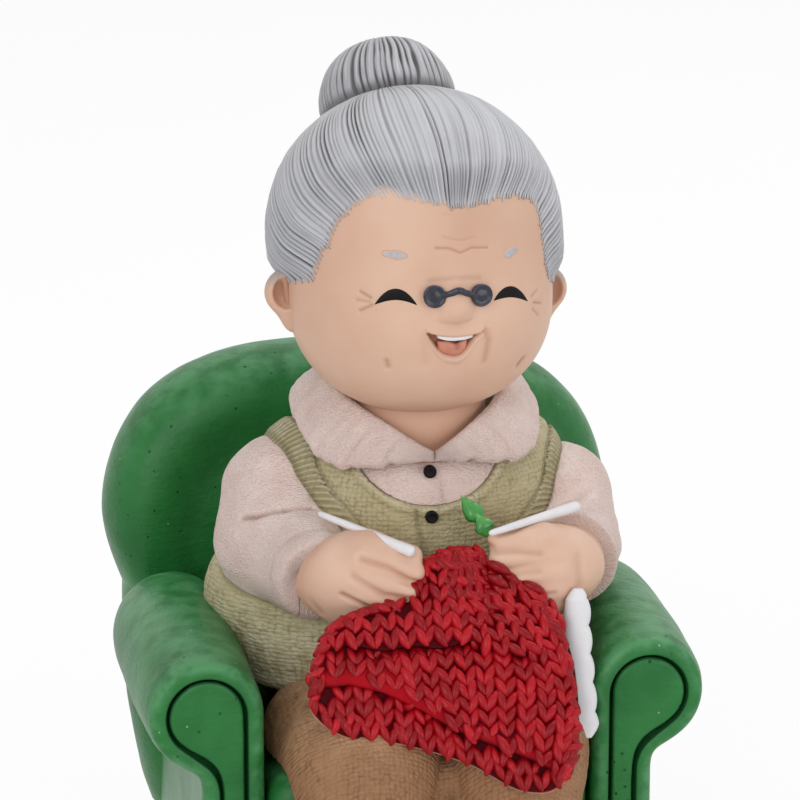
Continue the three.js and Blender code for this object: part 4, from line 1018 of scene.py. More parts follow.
@dataclass
class Body:
    """Torso, neck, legs, arms and what covers them, in the figure's frame."""

    wrist_radius: float = 5.6
    hem_height: float = 5.5
    neckline_centre: float = 37.0
    neckline_half_width: float = 9.6
    neckline_drop: float = 8.0
    shirt_recess: float = 0.7
    neck_radius: float = 8.4
    lap_shift: float = -1.4
    cuff_height: float = 7.0
    finger_radius: float = 1.6
    finger_pitch: float = 2.3
    needle_tip: float = 0.36
    rib_pitch: float = 0.62
    knit_width: float = 0.74
    knit_height: float = 0.54
    crepe_width: float = 0.42
    crepe_height: float = 0.3
    weave_width: float = 0.62
    weave_height: float = 0.66

    def __post_init__(self) -> None:
        """Joins the main forms into fields."""
        self.torso = blend(
            5.0,
            ellipsoid(vec(-1.2, -3.6, 15.5), vec(24.9, 16.8, 13.8)),
            ellipsoid(vec(-1.2, -3.6, 9.0), vec(22.6, 16.4, 14.0)),
            ellipsoid(vec(0, -4.8, 27.5), vec(17.2, 13.5, 13)),
            limb(vec(-13.4, -3, 31.6), vec(12.8, -3, 30.8), 5.6, 5.6),
        )
        self.neck = limb(vec(0, -6, 28), vec(-0.4, -8.6, 44), self.neck_radius, self.neck_radius)

    def sleeve_field(self, arm: Side) -> Field:
        """An arm's sleeve without its cuts."""
        upper = limb(arm.shoulder, arm.elbow, arm.shoulder_radius, arm.elbow_radius)
        return blend(2.0, upper, limb(arm.elbow, arm.wrist, arm.elbow_radius, self.wrist_radius))

    def neckline(self, p: Points) -> Points:
        """Distance from the neckline's oval, seen from the front, negative in the opening."""
        across = p[:, 0] / self.neckline_half_width
        down = (p[:, 2] - self.neckline_centre) / self.neckline_drop
        reach = np.hypot(across, down)
        steep = np.hypot(across / self.neckline_half_width, down / self.neckline_drop) + 1e-9
        return reach * (reach - 1) / steep

    def vest(self) -> Shape:
        """The knitted vest, with ribbed armholes, a rolled neckline and a placket crease, with painted shade in
        its grooves and painted highlight on its neckline and lower front.
        """

        def surface(p: Points) -> Points:
            opening = np.maximum(self.neckline(p), p[:, 1] + 7.6)
            return np.maximum(np.maximum(self.torso(p), self.hem_height - p[:, 2]), -opening)

        shape = voxel_shape(surface, vec(-27, -22, 5), vec(25, 14, 39), 0.285)
        p = shape.points
        normals = slopes(self.torso, p)
        height, wash, phase, ribbed = np.zeros((4, len(p)))
        for arm in (LEFT, RIGHT):
            off = self.sleeve_field(arm)(p)
            round_arm = np.arctan2(p[:, 2] - arm.shoulder[2], arm.shoulder[1] - p[:, 1])
            upper = smooth_step(p[:, 2], 20, 23)
            band = smooth_step(-off, -2.1, -1.8) * upper
            height += 0.2 * band
            phase += round_arm * arm.shoulder_radius * 2 * math.pi / self.rib_pitch * (band > 0)
            ribbed += band
            groove = bell(off, 2.25, 0.28) * upper
            height -= 0.2 * groove
            # Painted shade in the groove round each armhole and where the sleeve meets the vest.
            wash = np.maximum(wash, 0.55 * groove)
            wash = np.maximum(wash, 0.5 * bell(off, 0.0, 0.4))
        placket = Crease([(-2.2, -18.2, 28.8), (-1.9, -18.5, 26), (-1.0, -18.9, 22)], 0.4, 0.35, 0.5)
        # Painted shade along the placket crease.
        line, dark = pressed(p, [placket])
        height += line
        wash = np.maximum(wash, dark)
        edge = self.neckline(p)
        front = p[:, 1] < -9
        height += 0.22 * bell(edge, 0.45, 0.4) * front
        # Painted shade just outside the rolled neckline.
        wash = np.maximum(wash, 0.3 * bell(edge, 1.15, 0.3) * front)
        height += 0.25 * bell(p[:, 2], self.hem_height + 1.0, 0.9)
        # Painted shade along the hem's lower edge.
        wash = np.maximum(wash, 0.6 * smooth_step(-p[:, 2], -self.hem_height - 0.7, -self.hem_height))
        height += 0.22 * hill_noise(p, 6.0, 21) + 0.07 * hill_noise(p, 0.9, 22)
        shape = shape.pushed(normals, height)
        turn = np.arctan2(p[:, 0], -(p[:, 1] + 2))
        shape.values = {
            "wash": wash,
            # Painted highlight on the rolled neckline, and painted light over the lower vest, which lies in
            # shade.
            "painted_highlight": 0.8 * bell(edge, 0.3, 0.5) * front + 1.8 * smooth_step(-p[:, 2], -18, -12),
            "rib": np.stack([phase, np.clip(ribbed, 0, 1), 0 * wash], axis=1),
            "weave": np.stack([turn * 18 / self.knit_width, p[:, 2] / self.knit_height, 0 * turn], axis=1),
        }
        return shape

    def shirt_front(self) -> Shape:
        """The strip of shirt inside the vest's neckline, with its button line."""

        def surface(p: Points) -> Points:
            body = np.maximum(self.torso(p) + self.shirt_recess, self.neckline(p) + 0.05)
            return np.maximum(np.maximum(body, p[:, 1] + 9.5), -(self.neck(p) - 0.1))

        shape = voxel_shape(surface, vec(-10.2, -19, 28.5), vec(10.2, -9, 40), 0.17)
        p = shape.points
        opening = Crease([(0.9, -16.6, 34.5), (1.0, -16.8, 32.4), (1.35, -17.4, 29.4)], 0.28, 0.2, 0.35)
        line, dark = pressed(p, [opening])
        shape = shape.pushed(slopes(surface, p), line)
        # Painted shade along the shirt's opening crease.
        shape.values = {"wash": dark, "weave": p / [self.crepe_width, self.crepe_width, self.crepe_height]}
        return shape

    def collar(self, side: int) -> Shape:
        """One half of the soft collar, rounded at its rim."""
        neck_edge = [
            (0.03, -18.2, 36.1), (2, -17.9, 37.2), (3.8, -17.3, 38.3), (5.6, -16.2, 39.4), (7.4, -14.6, 40.4),
            (9.3, -11.8, 41.6), (10.2, -8.4, 42.5), (10.4, -4, 43.2), (9.2, 1.2, 43.7), (0.03, 5, 44)]
        outer_edge = [
            (0.03, -18.8, 35.2), (3.4, -18.5, 34.9), (7, -17.7, 34.4), (10.4, -16.2, 34.0), (12.9, -14.3, 34.4),
            (14.5, -11.8, 35.7), (15.3, -8.2, 37.3), (15.7, -4.4, 38.5), (14.2, 2.2, 39.6), (0.03, 10.2, 40.6)]
        columns, rows = 190, 40
        inner_line, outer_line = curve_points(neck_edge, columns), curve_points(outer_edge, columns)
        along = np.linspace(0, 1, columns)
        waves = 0.16 * np.sin(along * 46) + 0.1 * np.sin(along * 83 + side)
        outer_line[:, 2] += smooth_step(along, 0.03, 0.1) * waves
        share = np.linspace(0, 1, rows)[None, :, None]
        grid = inner_line[:, None] * (1 - share) + outer_line[:, None] * share
        across = outer_line - inner_line
        normal = np.cross(across, np.gradient(outer_line, axis=0))
        normal /= np.linalg.norm(normal, axis=1, keepdims=True)
        normal = normal[:, None] * np.ones_like(grid)
        s = share[..., 0] * np.ones(grid.shape[:2])
        column = along[:, None] * np.ones_like(s)
        lift = 0.45 * np.sin(np.pi * s)
        flat = grid.reshape(-1, 3)
        uneven = (0.16 * hill_noise(flat, 4.0, 31) + 0.08 * hill_noise(flat, 0.9, 32)).reshape(s.shape)
        rim = np.sqrt(np.clip(1 - np.abs(2 * s - 1) ** 9, 0, 1))
        tip = np.sqrt(np.clip(1 - np.clip(1 - column * 26, 0, 1) ** 4, 0, 1))
        half = 0.65 * rim * tip
        outer = grid + normal * (lift - 0.65 + half + uneven * rim)[..., None]
        inner = grid + normal * (lift - 0.65 - half)[..., None]
        shape = sheet_shape(outer, inner)
        weave = np.stack([column * 52 / self.crepe_width, s * 9 / self.crepe_height, 0 * s], axis=-1)
        weave = weave.reshape(-1, 3)
        # Painted shade along the outer rim of the collar's front and, deeper, on its underside.
        edge = (0.35 * smooth_step(s, 0.93, 1.0) * (column < 0.5)).reshape(-1)
        shape.values = {"weave": np.vstack([weave, weave]), "wash": np.concatenate([edge, edge + 0.2])}
        shape.points[:, 0] *= side
        return shape

    def sleeve(self, arm: Side) -> Shape:
        """A full sleeve that comes out of the armhole, with its elbow creases and a soft cuff."""
        bare = self.sleeve_field(arm)
        forearm = arm.wrist - arm.elbow
        forearm /= np.linalg.norm(forearm)
        needle = limb(*arm.needle, 0.7, 1.0)
        end = arm.wrist + forearm * arm.cuff_reach

        def surface(p: Points) -> Points:
            body = smooth_cut(bare(p), self.torso(p) + 0.05, 0.6)
            return np.maximum(body, (p - end) @ forearm)

        ends = np.vstack([arm.shoulder, arm.elbow, arm.wrist])
        shape = voxel_shape(surface, ends.min(0) - 8.4, ends.max(0) + 8.4, 0.22)
        p = shape.points
        # Painted shade in the elbow creases.
        height, wash = pressed(p, arm.creases)
        along = (p - end) @ forearm
        height += 0.22 * bell(along, -0.8, 1.1) - 0.16 * bell(along, -2.9, 0.5)
        height += 0.2 * hill_noise(p * [1, 1, 1.7], 4.6, 41) + 0.05 * hill_noise(p, 1.1, 42)
        height -= 0.9 * np.clip(0.25 - needle(p), 0, 0.6)
        # Painted shade where the sleeve meets the body and at the cuff's open end.
        wash = np.maximum(wash, 0.35 * bell(self.torso(p), 0.0, 0.5))
        wash = np.maximum(wash, 0.4 * smooth_step(along, -0.5, 0.0))
        shape = shape.pushed(slopes(bare, p), height * smooth_step(-along, -0.1, 0.3))
        middle = p - arm.elbow
        turn = np.arctan2(middle[:, 0], middle[:, 2])
        weave = [turn * 7.5 / self.crepe_width, p[:, 1] / self.crepe_height, p[:, 2] / self.crepe_height]
        shape.values = {"wash": wash, "weave": np.stack(weave, axis=1)}
        return shape

    def hand(self, arm: Side) -> Shape:
        """A closed hand: palm, four fingers that show as shallow rolls, and a thumb."""
        towards = -arm.sign
        palm, fist = arm.palm, arm.fist
        forms = [ellipsoid(palm, fist), limb(palm, palm + (arm.wrist - palm) * 0.9, 4.0, 4.4)]
        fingers = []
        for i in range(4):
            z = fist[2] * 0.55 - i * self.finger_pitch
            bend = 0.35 * math.sin(math.pi * (i + 0.5) / 4)
            root = palm + [towards * 0.2, 0.9 - fist[1] + self.finger_radius * 0.4 - bend, z]
            tip_y = -fist[1] + self.finger_radius * 0.2 - bend
            tip = palm + [towards * (arm.reach - 0.55 * i), tip_y, z + arm.slope]
            fingers.append(limb(root, tip, self.finger_radius * 0.9, self.finger_radius * 0.82))
        thumb_z = fist[2] * 0.55 + self.finger_pitch * 0.75
        thumb = limb(palm + [towards * 1, 1 - fist[1] / 2, thumb_z - 0.4],
                     palm + [towards * arm.reach, -fist[1] / 2 - 0.4, thumb_z + arm.slope], 1.6, 1.3)
        palm_field = blend(2.0, *forms)
        finger_field = blend(0.45, *fingers)
        needle = limb(*arm.needle, 0.35, 0.55)

        def surface(p: Points) -> Points:
            whole = smooth_least(smooth_least(palm_field(p), finger_field(p), 2.0), thumb(p), 1.2)
            whole = smooth_cut(whole, self.torso(p) - 0.1, 0.3)
            return smooth_cut(whole, needle(p) - 0.02, 0.3)

        shape = voxel_shape(surface, palm - fist - 4.5, palm + fist + 4.5, 0.17)
        p = shape.points
        # Painted shade in the lines between the fingers.
        lines, wash = pressed(p[:, [0, 2]], arm.finger_lines)
        front = smooth_step(-p[:, 1], -palm[1] + 0.5, -palm[1] + 2.0)
        forearm = arm.wrist - arm.elbow
        past_cuff = (p - arm.wrist) @ forearm / np.linalg.norm(forearm) - arm.cuff_reach
        # Painted shade on the hand's far side and under the cuff.
        wash = np.maximum(wash * front, 0.32 * smooth_step(p[:, 1], palm[1] + 0.5, palm[1] + 3.5))
        wash = np.maximum(wash, 0.3 * bell(past_cuff, 0.2, 1.3))
        shape = shape.pushed(slopes(surface, p), lines * front + 0.05 * hill_noise(p, 1.6, 51))
        shape.values["wash"] = wash
        return shape

    def needle(self, arm: Side) -> Shape:
        """A tapered white needle with blunt ends."""
        thin, thick = (arm.needle if arm.sign < 0 else arm.needle[::-1])
        share = np.concatenate([[0, 0.01, 0.03], np.linspace(0.08, 0.92, 12), [0.97, 0.99, 1.0]])
        path = thin + (thick - thin) * share[:, None]
        blunt = np.concatenate([[0.35, 0.75, 0.97], np.ones(12), [0.97, 0.75, 0.35]])
        radius = (self.needle_tip + self.needle_tip * share) * blunt
        return tube_shape(path, radius, radius, vec(0, 0, 1), 24)

    def ankle(self, side: int) -> Points:
        """Where a leg ends."""
        return vec(self.lap_shift + side * 9.2, -35, self.cuff_height - SEAT_TOP)

    def trousers(self) -> Shape:
        """Trousers of a coarse weave, from the hem of the vest to the ankles."""
        hips = ellipsoid(vec(self.lap_shift, 0, 6), vec(20, 15, 9))
        fields = [hips, limb(vec(-0.7, -29.5, -1.5), vec(-0.9, -34, -16), 3.0, 2.2)]
        for side, knee_x, knee_radius, calf in ((-1, -10.6, 9.1, 8.3), (1, 8.2, 8.6, 8.0)):
            knee = vec(knee_x, -28, 1)
            thigh = limb(vec(knee_x, 0, -0.8), knee, 7.6, knee_radius)
            shin = limb(knee + [0, -1.8, 0], self.ankle(side), calf, 5.6)
            hip = ellipsoid(vec(self.lap_shift + side * 12.1, -18.5, 0.2), vec(7.7, 12.5, 8.0))
            fields.append(blend(2.0, thigh, shin, hip))
        whole = blend(0.8, *fields)
        shift = np.array(FIGURE.origin) - np.array(CHAIR.origin)
        seat_half_width = Armchair.seat_half_width
        seat = rounded_box(vec(-seat_half_width, -30.2, 5), vec(seat_half_width, 40, SEAT_TOP), 1.5)
        cuff = self.cuff_height - SEAT_TOP

        def surface(p: Points) -> Points:
            in_chair = p + shift
            between_arms = np.where(in_chair[:, 1] > -29, np.abs(in_chair[:, 0]) - 19.6, -9.0)
            body = np.maximum(whole(p), cuff - p[:, 2])
            body = np.maximum(body, -np.maximum(self.torso(p) - 0.15, self.hem_height - 0.15 - p[:, 2]))
            body = np.maximum(body, -(seat(in_chair) - 0.2))
            return np.maximum(body, between_arms)

        shape = voxel_shape(surface, vec(-21.5, -43, cuff), vec(19.5, 16, 13), 0.32)
        p = shape.points
        # Painted shade in the crease between the legs and in the lap creases.
        height, wash = pressed(p, [
            Crease([(-2.2, -6, 8), (-1.8, -16, 8.5), (-0.9, -26, 5), (-0.6, -33, -4), (-1.0, -36, -14)],
                   1.1, 0.1, 0.8),
            Crease([(-19, -10, 6.5), (-14, -17, 7.6), (-8, -19, 8.6)], 0.7, 0.3, 0.35),
            Crease([(15, -12, 7), (12, -17, 8), (7, -20, 8.8)], 0.7, 0.3, 0.3),
        ])
        height += 0.22 * hill_noise(p, 4.0, 61) + 0.07 * hill_noise(p, 0.8, 62)
        shape = shape.pushed(slopes(whole, p), height)
        weave = [p[:, 0] / self.weave_width, -(p[:, 1] + p[:, 2]) / self.weave_height, 0 * wash]
        shape.values = {"wash": wash, "weave": np.stack(weave, axis=1)}
        return shape

    def slipper(self, arm: Side) -> Shape:
        """A soft slipper with a flat sole and a welt."""
        ankle = self.ankle(arm.sign)
        foot = vec(ankle[0], ankle[1] - 4.3, 3.68 - SEAT_TOP)
        whole = blend(2.0, ellipsoid(foot, vec(5.4, 8.6, 4.6)), limb(foot, ankle, 4.0, 4.8))

        def surface(p: Points) -> Points:
            above = p[:, 2] + SEAT_TOP
            return np.maximum(np.maximum(whole(p), -above), above - self.cuff_height + 0.3)

        shape = voxel_shape(surface, foot - [5.8, 9, 3.8], foot + [5.8, 14, 5], 0.3)
        above = shape.points[:, 2] + SEAT_TOP
        welt = bell(above, 1.3, 0.28) * (above > 0.2)
        out = slopes(whole, shape.points)
        shape = shape.pushed(out, -0.22 * welt + 0.1 * hill_noise(shape.points, 3.0, 71) * (above > 0.4))
        # Painted shade in the welt and at the top, under the trouser cuff.
        shape.values["wash"] = 0.7 * welt + 0.5 * smooth_step(above, 5.6, 6.7)
        return shape

    def button(self, place: Points) -> Shape:
        """A small domed button with a sunken middle."""
        profile = [(0, -0.5), (0.78, -0.5), (0.8, 0.05), (0.74, 0.24), (0.6, 0.3), (0.42, 0.24), (0.2, 0.2)]
        shape = lathe_shape([*profile, (0, 0.2)], 28)
        p = shape.points
        shape.points = np.stack([p[:, 0], -p[:, 2], p[:, 1]], axis=1) + place
        return shape

    def bare_neck(self) -> Shape:
        """The neck, in painted shade, deepest where it meets the head and the shirt."""
        shape = voxel_shape(
            lambda p: np.maximum(self.neck(p), p[:, 2] - 46), vec(-9.5, -18, 22), vec(9.5, 3, 46.2), 0.35)
        z = shape.points[:, 2]
        # Painted shade over the whole neck, deeper under the head and at the shirt.
        shape.values["wash"] = 0.36 + 0.35 * smooth_step(z, 39, 43) + 0.2 * bell(z, 35.5, 1.5)
        return shape

    def build(self) -> None:
        """Builds and dresses the body's pieces."""
        Piece("vest_skin", self.vest(), FIGURE, OLIVE_KNIT).build()
        Piece("shirt_front_skin", self.shirt_front(), FIGURE, BLOUSE).build()
        Piece("neck_skin", self.bare_neck(), FIGURE, SKIN).build()
        for name, side in SIDES:
            Piece(f"collar_{name}_skin", self.collar(side), FIGURE, BLOUSE).build()
        Piece("shirt_button_skin", self.button(vec(-0.3, -17.05, 33.2)), FIGURE, BLACK).build()
        Piece("vest_button_skin", self.button(vec(-0.4, -18.75, 28.0)), FIGURE, BLACK).build()
        for arm in (LEFT, RIGHT):
            Piece(f"sleeve_{arm.name}_skin", self.sleeve(arm), FIGURE, BLOUSE).build()
            Piece(f"hand_{arm.name}_skin", self.hand(arm), FIGURE, SKIN).build()
            Piece(f"needle_{arm.name}_skin", self.needle(arm), FIGURE, WHITE).build()
            Piece(f"slipper_{arm.name}_skin", self.slipper(arm), FIGURE, SLIPPER_RED).build()
        Piece("trousers_skin", self.trousers(), FIGURE, BROWN_WEAVE).build()


# The head


@dataclass
class HeadPiece:
    """Face, ears, hair and what is painted or glued on them, in the head's frame."""

    skull: tuple[float, float, float] = (16.7, 16.4, 15.9)
    hair_thickness: float = 1.4
    strands: int = 150
    bun_centre: tuple[float, float, float] = (-0.3, 10.6, 13.8)
    bun_radii: tuple[float, float, float] = (8.5, 8.2, 8.1)
    bun_strands: int = 52

    def __post_init__(self) -> None:
        """Joins the skull, the jowls and the nose into fields."""
        jowls = ellipsoid(vec(0, -3.2, -9.9), vec(15.7, 13.9, 12))
        self.face = blend(5.0, ellipsoid(vec(0, 0, 0), vec(*self.skull)), jowls)
        nose = ellipsoid(vec(0.1, -16.7, -6.5), vec(1.6, 1.6, 1.25))
        bridge = limb(vec(0.1, -15.9, -3.0), vec(0.1, -16.4, -6.3), 0.7, 1.1)
        self.whole = blend(1.7, self.face, nose, bridge)
        self.lines = [
            Crease([(-2.1, 0.83), (-0.6, 0.75), (0.92, 0.1), (2.3, 0.6), (4.4, 0.45)], 0.2, 0.16, 0.5),
            Crease([(-1.2, 2.07), (0.85, 1.55), (2.8, 1.8)], 0.17, 0.1, 0.35),
            Crease([(-1.0, 4.8), (0.7, 4.5)], 0.17, 0.08, 0.3),
            Crease([(-10.5, -4.5), (-9.5, -5.1)], 0.2, 0.2, 0.55),
            Crease([(-10.9, -5.5), (-9.7, -5.6)], 0.2, 0.2, 0.4),
            Crease([(-10.6, -6.7), (-9.4, -5.95)], 0.2, 0.2, 0.55),
            Crease([(10.6, -6.3), (11.6, -5.8)], 0.2, 0.2, 0.45),
            Crease([(10.9, -7.1), (12.2, -7.5)], 0.2, 0.2, 0.55),
            Crease([(10.7, -7.8), (11.7, -8.8)], 0.2, 0.2, 0.4),
            Crease([(-7.7, -12.7), (-7.5, -13.5)], 0.33, 0.3, 0.45),
            Crease([(9.9, -14.0), (9.2, -14.9)], 0.33, 0.34, 0.65),
            Crease([(-3.7, -9.4), (-3.6, -11), (-3.4, -13)], 0.6, 0.14, 0.2),
            Crease([(3.9, -9.4), (4.3, -10.6), (4.1, -13.2)], 0.5, 0.26, 0.4),
            Crease([(-3.0, -3.1), (0, -2.75), (3.2, -3.1)], 0.4, 0.12, 0.25),
            Crease([(-1.9, -7.9), (0.1, -8.35), (2.0, -7.9)], 0.3, 0.1, 0.2),
        ]

    def mouth(self, x: Points) -> tuple[Points, Points]:
        """Heights of the mouth's upper and lower edges."""
        upper = np.interp(x, (-3.46, -2.8, -2, -1, 0, 1.2, 2.3, 3.0, 3.7),
                          (-9.05, -9.33, -9.58, -9.78, -9.86, -9.84, -9.74, -9.58, -9.32))
        depths = (-9.07, -10.15, -11.3, -11.95, -12.35, -12.5, -12.35, -11.8, -10.85, -10.2, -9.82, -9.38)
        lower = np.interp(x, (-3.46, -2.9, -2.1, -1.4, -0.6, 0.2, 0.9, 1.5, 2.2, 2.6, 3.0, 3.7), depths)
        return upper, lower

    def detail(self, p: Points) -> tuple[Points, Points]:
        """Height change and painted shade over the face, read from the front."""

        def spot(x: float, z: float, flatness: float, width: float) -> Points:
            """A round patch, 1 in its middle."""
            return bell(np.hypot(p[:, 0] - x, (p[:, 2] - z) * flatness), 0, width)

        front = (p[:, 1] < -4).astype(float)
        # Painted shade in the wrinkles and folds.
        height, wash = pressed(p[:, [0, 2]], self.lines)
        for x in (-6.6, 7.0):
            height += 0.55 * spot(x, -9.6, 1.1, 3.4)
        top, bottom = self.mouth(p[:, 0])
        inside = np.minimum(top - p[:, 2], p[:, 2] - bottom)
        lip = bell(inside, -0.35, 0.32) * (np.abs(p[:, 0] - 0.1) < 3.6)
        height += 0.16 * lip
        depth = smooth_step(inside, -0.05, 0.28)
        inside = np.where(np.abs(p[:, 0] - 0.1) < 3.5, inside, -9.0)
        height = np.where(inside > -0.05, -1.15 * depth, height)
        # Painted shade inside the open mouth.
        wash = np.where(inside > 0, np.maximum(wash, 0.95 * depth), wash)
        # Painted shade under the lower lip.
        wash = np.maximum(wash, 0.25 * spot(0.1, -13.0, 2.2, 1.7))
        # Painted shade on the forehead below the hair.
        wash = np.maximum(wash, 0.3 * spot(3.0, 4.2, 1.5, 8.5))
        # Painted shade under the chin.
        under = smooth_step(-p[:, 2], 17.5, 21.5)
        blush = 0.05 * spot(-7, -9.5, 1, 4) + 0.05 * spot(7.6, -9.5, 1, 4)
        return height * front, np.maximum(np.maximum(wash, blush) * front, 0.45 * under)

    def head(self) -> Shape:
        """The smiling face and the back of the head, as one casting."""
        around = 340
        tilt = np.concatenate([np.linspace(0.4, 62, 165), np.linspace(62.8, 178.5, 64)])
        tilt, turn = np.meshgrid(np.radians(tilt), full_turn(around), indexing="ij")
        ways = np.stack([np.sin(tilt) * np.cos(turn), -np.cos(tilt), np.sin(tilt) * np.sin(turn)], axis=-1)
        ways = np.vstack([ways.reshape(-1, 3), [[0, -1, 0]], [[0, 1, 0]]])
        points = cast(self.whole, vec(0, 0, -4), ways)
        rings = points[:-2].reshape(-1, around, 3)
        shape = ring_shape(list(rings), points[-2], points[-1])
        height, wash = self.detail(shape.points)
        height = height + 0.04 * hill_noise(shape.points, 3.0, 81)
        shape = shape.pushed(slopes(self.whole, shape.points), height)
        shape.values["wash"] = wash
        return shape

    def front_at(self, x: Points, z: Points) -> Points:
        """The face's points seen straight from the front at x and z."""
        start = np.stack([x, np.zeros_like(x), z], axis=-1).reshape(-1, 3)
        return cast(self.whole, start, np.tile([0.0, -1.0, 0.0], (len(start), 1)), 30)

    def patch(
        self, x: Points, low: Points, high: Points, rows: int, height: float, sink: float, power: float = 4.0
    ) -> Shape:
        """A thin piece that lies on the face between two edges seen from the front.

        Args:
            x: Where the edges' points lie across the face.
            low: Heights of the lower edge.
            high: Heights of the upper edge.
            rows: Points from one edge to the other.
            height: How far its middle stands proud.
            sink: How far its underside lies below the face.
            power: Squareness of its section.

        Returns:
            The shape.
        """
        share = np.linspace(0, 1, rows)[None, :, None]
        low_edge, high_edge = np.stack([x, low], axis=1), np.stack([x, high], axis=1)
        flat = low_edge[:, None] * (1 - share) + high_edge[:, None] * share
        base = self.front_at(flat[..., 0].ravel(), flat[..., 1].ravel())
        out = slopes(self.face, base)
        across = np.abs(2 * share[..., 0] - 1) ** power
        ends = np.abs(np.linspace(-1, 1, len(x)))[:, None] ** (3 * power)
        rise = (np.sqrt(np.clip((1 - across) * (1 - ends), 0, 1)) * height).ravel()
        size = (len(x), rows, 3)
        top = base + out * (rise - 0.02)[:, None]
        return sheet_shape(top.reshape(size), (base - out * sink).reshape(size))

    def eye(self, side: int) -> Shape:
        """A closed, smiling eye: a black crescent."""
        left, right = ((-4.4, -5.85), (-9.1, -5.9), -3.85), ((4.9, -5.9), (10.0, -6.85), -4.45)
        inner, outer, peak = left if side < 0 else right
        u = np.linspace(0, 1, 60)
        x = inner[0] + (outer[0] - inner[0]) * u
        chord = inner[1] + (outer[1] - inner[1]) * u
        rise = peak - (inner[1] + outer[1]) / 2
        high = chord + rise * (1 - np.abs(2 * u - 1) ** 2.1)
        low = chord + (rise - 1.45) * (1 - np.abs(2 * u - 1) ** 1.8) - 0.02
        return self.patch(x, low, high, 15, 0.2, 0.4)

    def brow(self, side: int) -> Shape:
        """A small tuft of an eyebrow."""
        left, right = ((-6.75, 0.05), (1.45, 0.62), -0.08), ((7.6, -0.45), (1.1, 0.72), 0.2)
        centre, half, tilt = left if side < 0 else right
        u = np.linspace(-0.99, 0.99, 40)
        rise = half[1] * np.sqrt(1 - u**2) * (0.9 + 0.1 * np.cos(6 * u + side))
        x = centre[0] + half[0] * u
        line = centre[1] + tilt * u * half[0]
        shape = self.patch(x, line - rise, line + rise, 17, 0.17, 0.3, 2.4)
        p = shape.points
        shape.points[:, 1] -= 0.05 * hill_noise(p * [1, 1, 2], 0.5, 82) * (np.arange(len(p)) < len(p) // 2)
        across = np.abs(p[:, 2] - np.interp(p[:, 0], x, line)) / np.interp(p[:, 0], x, rise)
        ends = np.abs(p[:, 0] - centre[0]) / half[0]
        away = np.hypot(across, 0.8 * ends)
        # This mask fades the tuft's edges into the face: the brow paint's darker-mix colour is skin coloured,
        # so here it is no shade.
        shape.values["wash"] = smooth_step(away + 0.3 * hill_noise(p * [1, 1, 3], 0.6, 83), 0.35, 1.05)
        return shape

    def teeth(self) -> Shape:
        """The upper row of teeth, as one white band behind the lip."""
        x = np.linspace(-2.05, 2.4, 40)
        top = self.mouth(x)[0] + 0.1
        low = top - 0.6 * (1 - 0.35 * np.abs((x - 0.17) / 2.23) ** 3)
        return self.sunk(self.patch(x, low, top, 11, 0.28, 0.55), 0.42)

    def tongue(self) -> Shape:
        """The tongue, low in the open mouth."""
        x = np.linspace(-1.9, 1.75, 40)
        low = np.maximum(self.mouth(x)[1] + 0.12, -12.4)
        top = np.maximum(-10.4 - 0.35 * bell(x, 0.35, 0.7), low + 0.05)
        shape = self.sunk(self.patch(x, low, top, 17, 0.4, 0.3, 2.2), 0.7)
        p = shape.points
        # Painted shade along the tongue's middle groove.
        shape.values["wash"] = 0.55 * bell(p[:, 0], 0.45, 0.5) * smooth_step(p[:, 2], -11.9, -11.2)
        return shape

    @staticmethod
    def sunk(shape: Shape, depth: float) -> Shape:
        """A piece set back into the face."""
        shape.points[:, 1] += depth
        return shape

    def glasses(self) -> Shape:
        """Two small dark lenses in rims, joined by an arched bridge, low on the nose."""
        profile = [(0, -0.9), (1.2, -0.9), (1.3, 0.25), (1.36, 0.62), (1.3, 0.78), (1.18, 0.82), (1.05, 0.72),
                   (0.95, 0.66), (0.5, 0.78), (0, 0.82)]
        lenses, centres = [], []
        for x, z in ((-2.5, -4.75), (3.2, -4.95)):
            seat = self.front_at(np.array([x]), np.array([z]))[0]
            out = slopes(self.face, seat[None])[0] * [0.55, 1, 0.3]
            out /= np.linalg.norm(out)
            lens = lathe_shape(profile, 44)
            turn = Vector((0, 0, 1)).rotation_difference(Vector(out)).to_matrix()
            lens.points = lens.points @ np.array(turn).T + seat
            centres.append(seat + out * 0.5)
            lenses.append(lens)
        left, right = centres
        u = np.linspace(0.16, 0.84, 30)
        path = left + (right - left) * u[:, None]
        arch = bell(u, 0.5, 0.16)
        path[:, 2] += 0.14 + 0.58 * arch
        path[:, 1] = np.minimum(path[:, 1], -17.3) - 0.55 * arch
        thick = 0.27 + 0.24 * np.abs(2 * u - 1) ** 2 + 0.1 * arch
        return as_one([*lenses, tube_shape(path, thick * 1.15, thick, vec(0, 0, 1), 16)])

    def ear(self, side: int) -> Shape:
        """An ear with a rolled rim, a bowl and a small flap in front of it."""
        c = vec(side * 16.2, -1.4, -7.4 - side * 0.8)
        lobe = ellipsoid(c + [-side, 0, -2.9], vec(1.9, 1.5, 2.3))
        outer = blend(1.5, ellipsoid(c, vec(2.9, 1.9, 2.9)), lobe)
        bowl = ellipsoid(c + [side * 0.6, -1.6, 0.1], vec(1.6, 1.55, 2.0))
        flap = ellipsoid(c + [-side * 1.2, -1.5, -0.9], vec(0.7, 0.7, 0.9))
        ridge = limb(c + [side * 0.5, -0.9, 1.5], c + [side * 0.2, -0.8, -1.0], 0.4, 0.35)
        surface = blend(0.6, lambda p: smooth_cut(outer(p), bowl(p), 0.5), flap, ridge)
        shape = voxel_shape(surface, c - [4, 3.2, 5.6], c + [4, 2.6, 3.4], 0.15)
        p = shape.points
        ahead = p[:, 1] < c[1] + 0.3
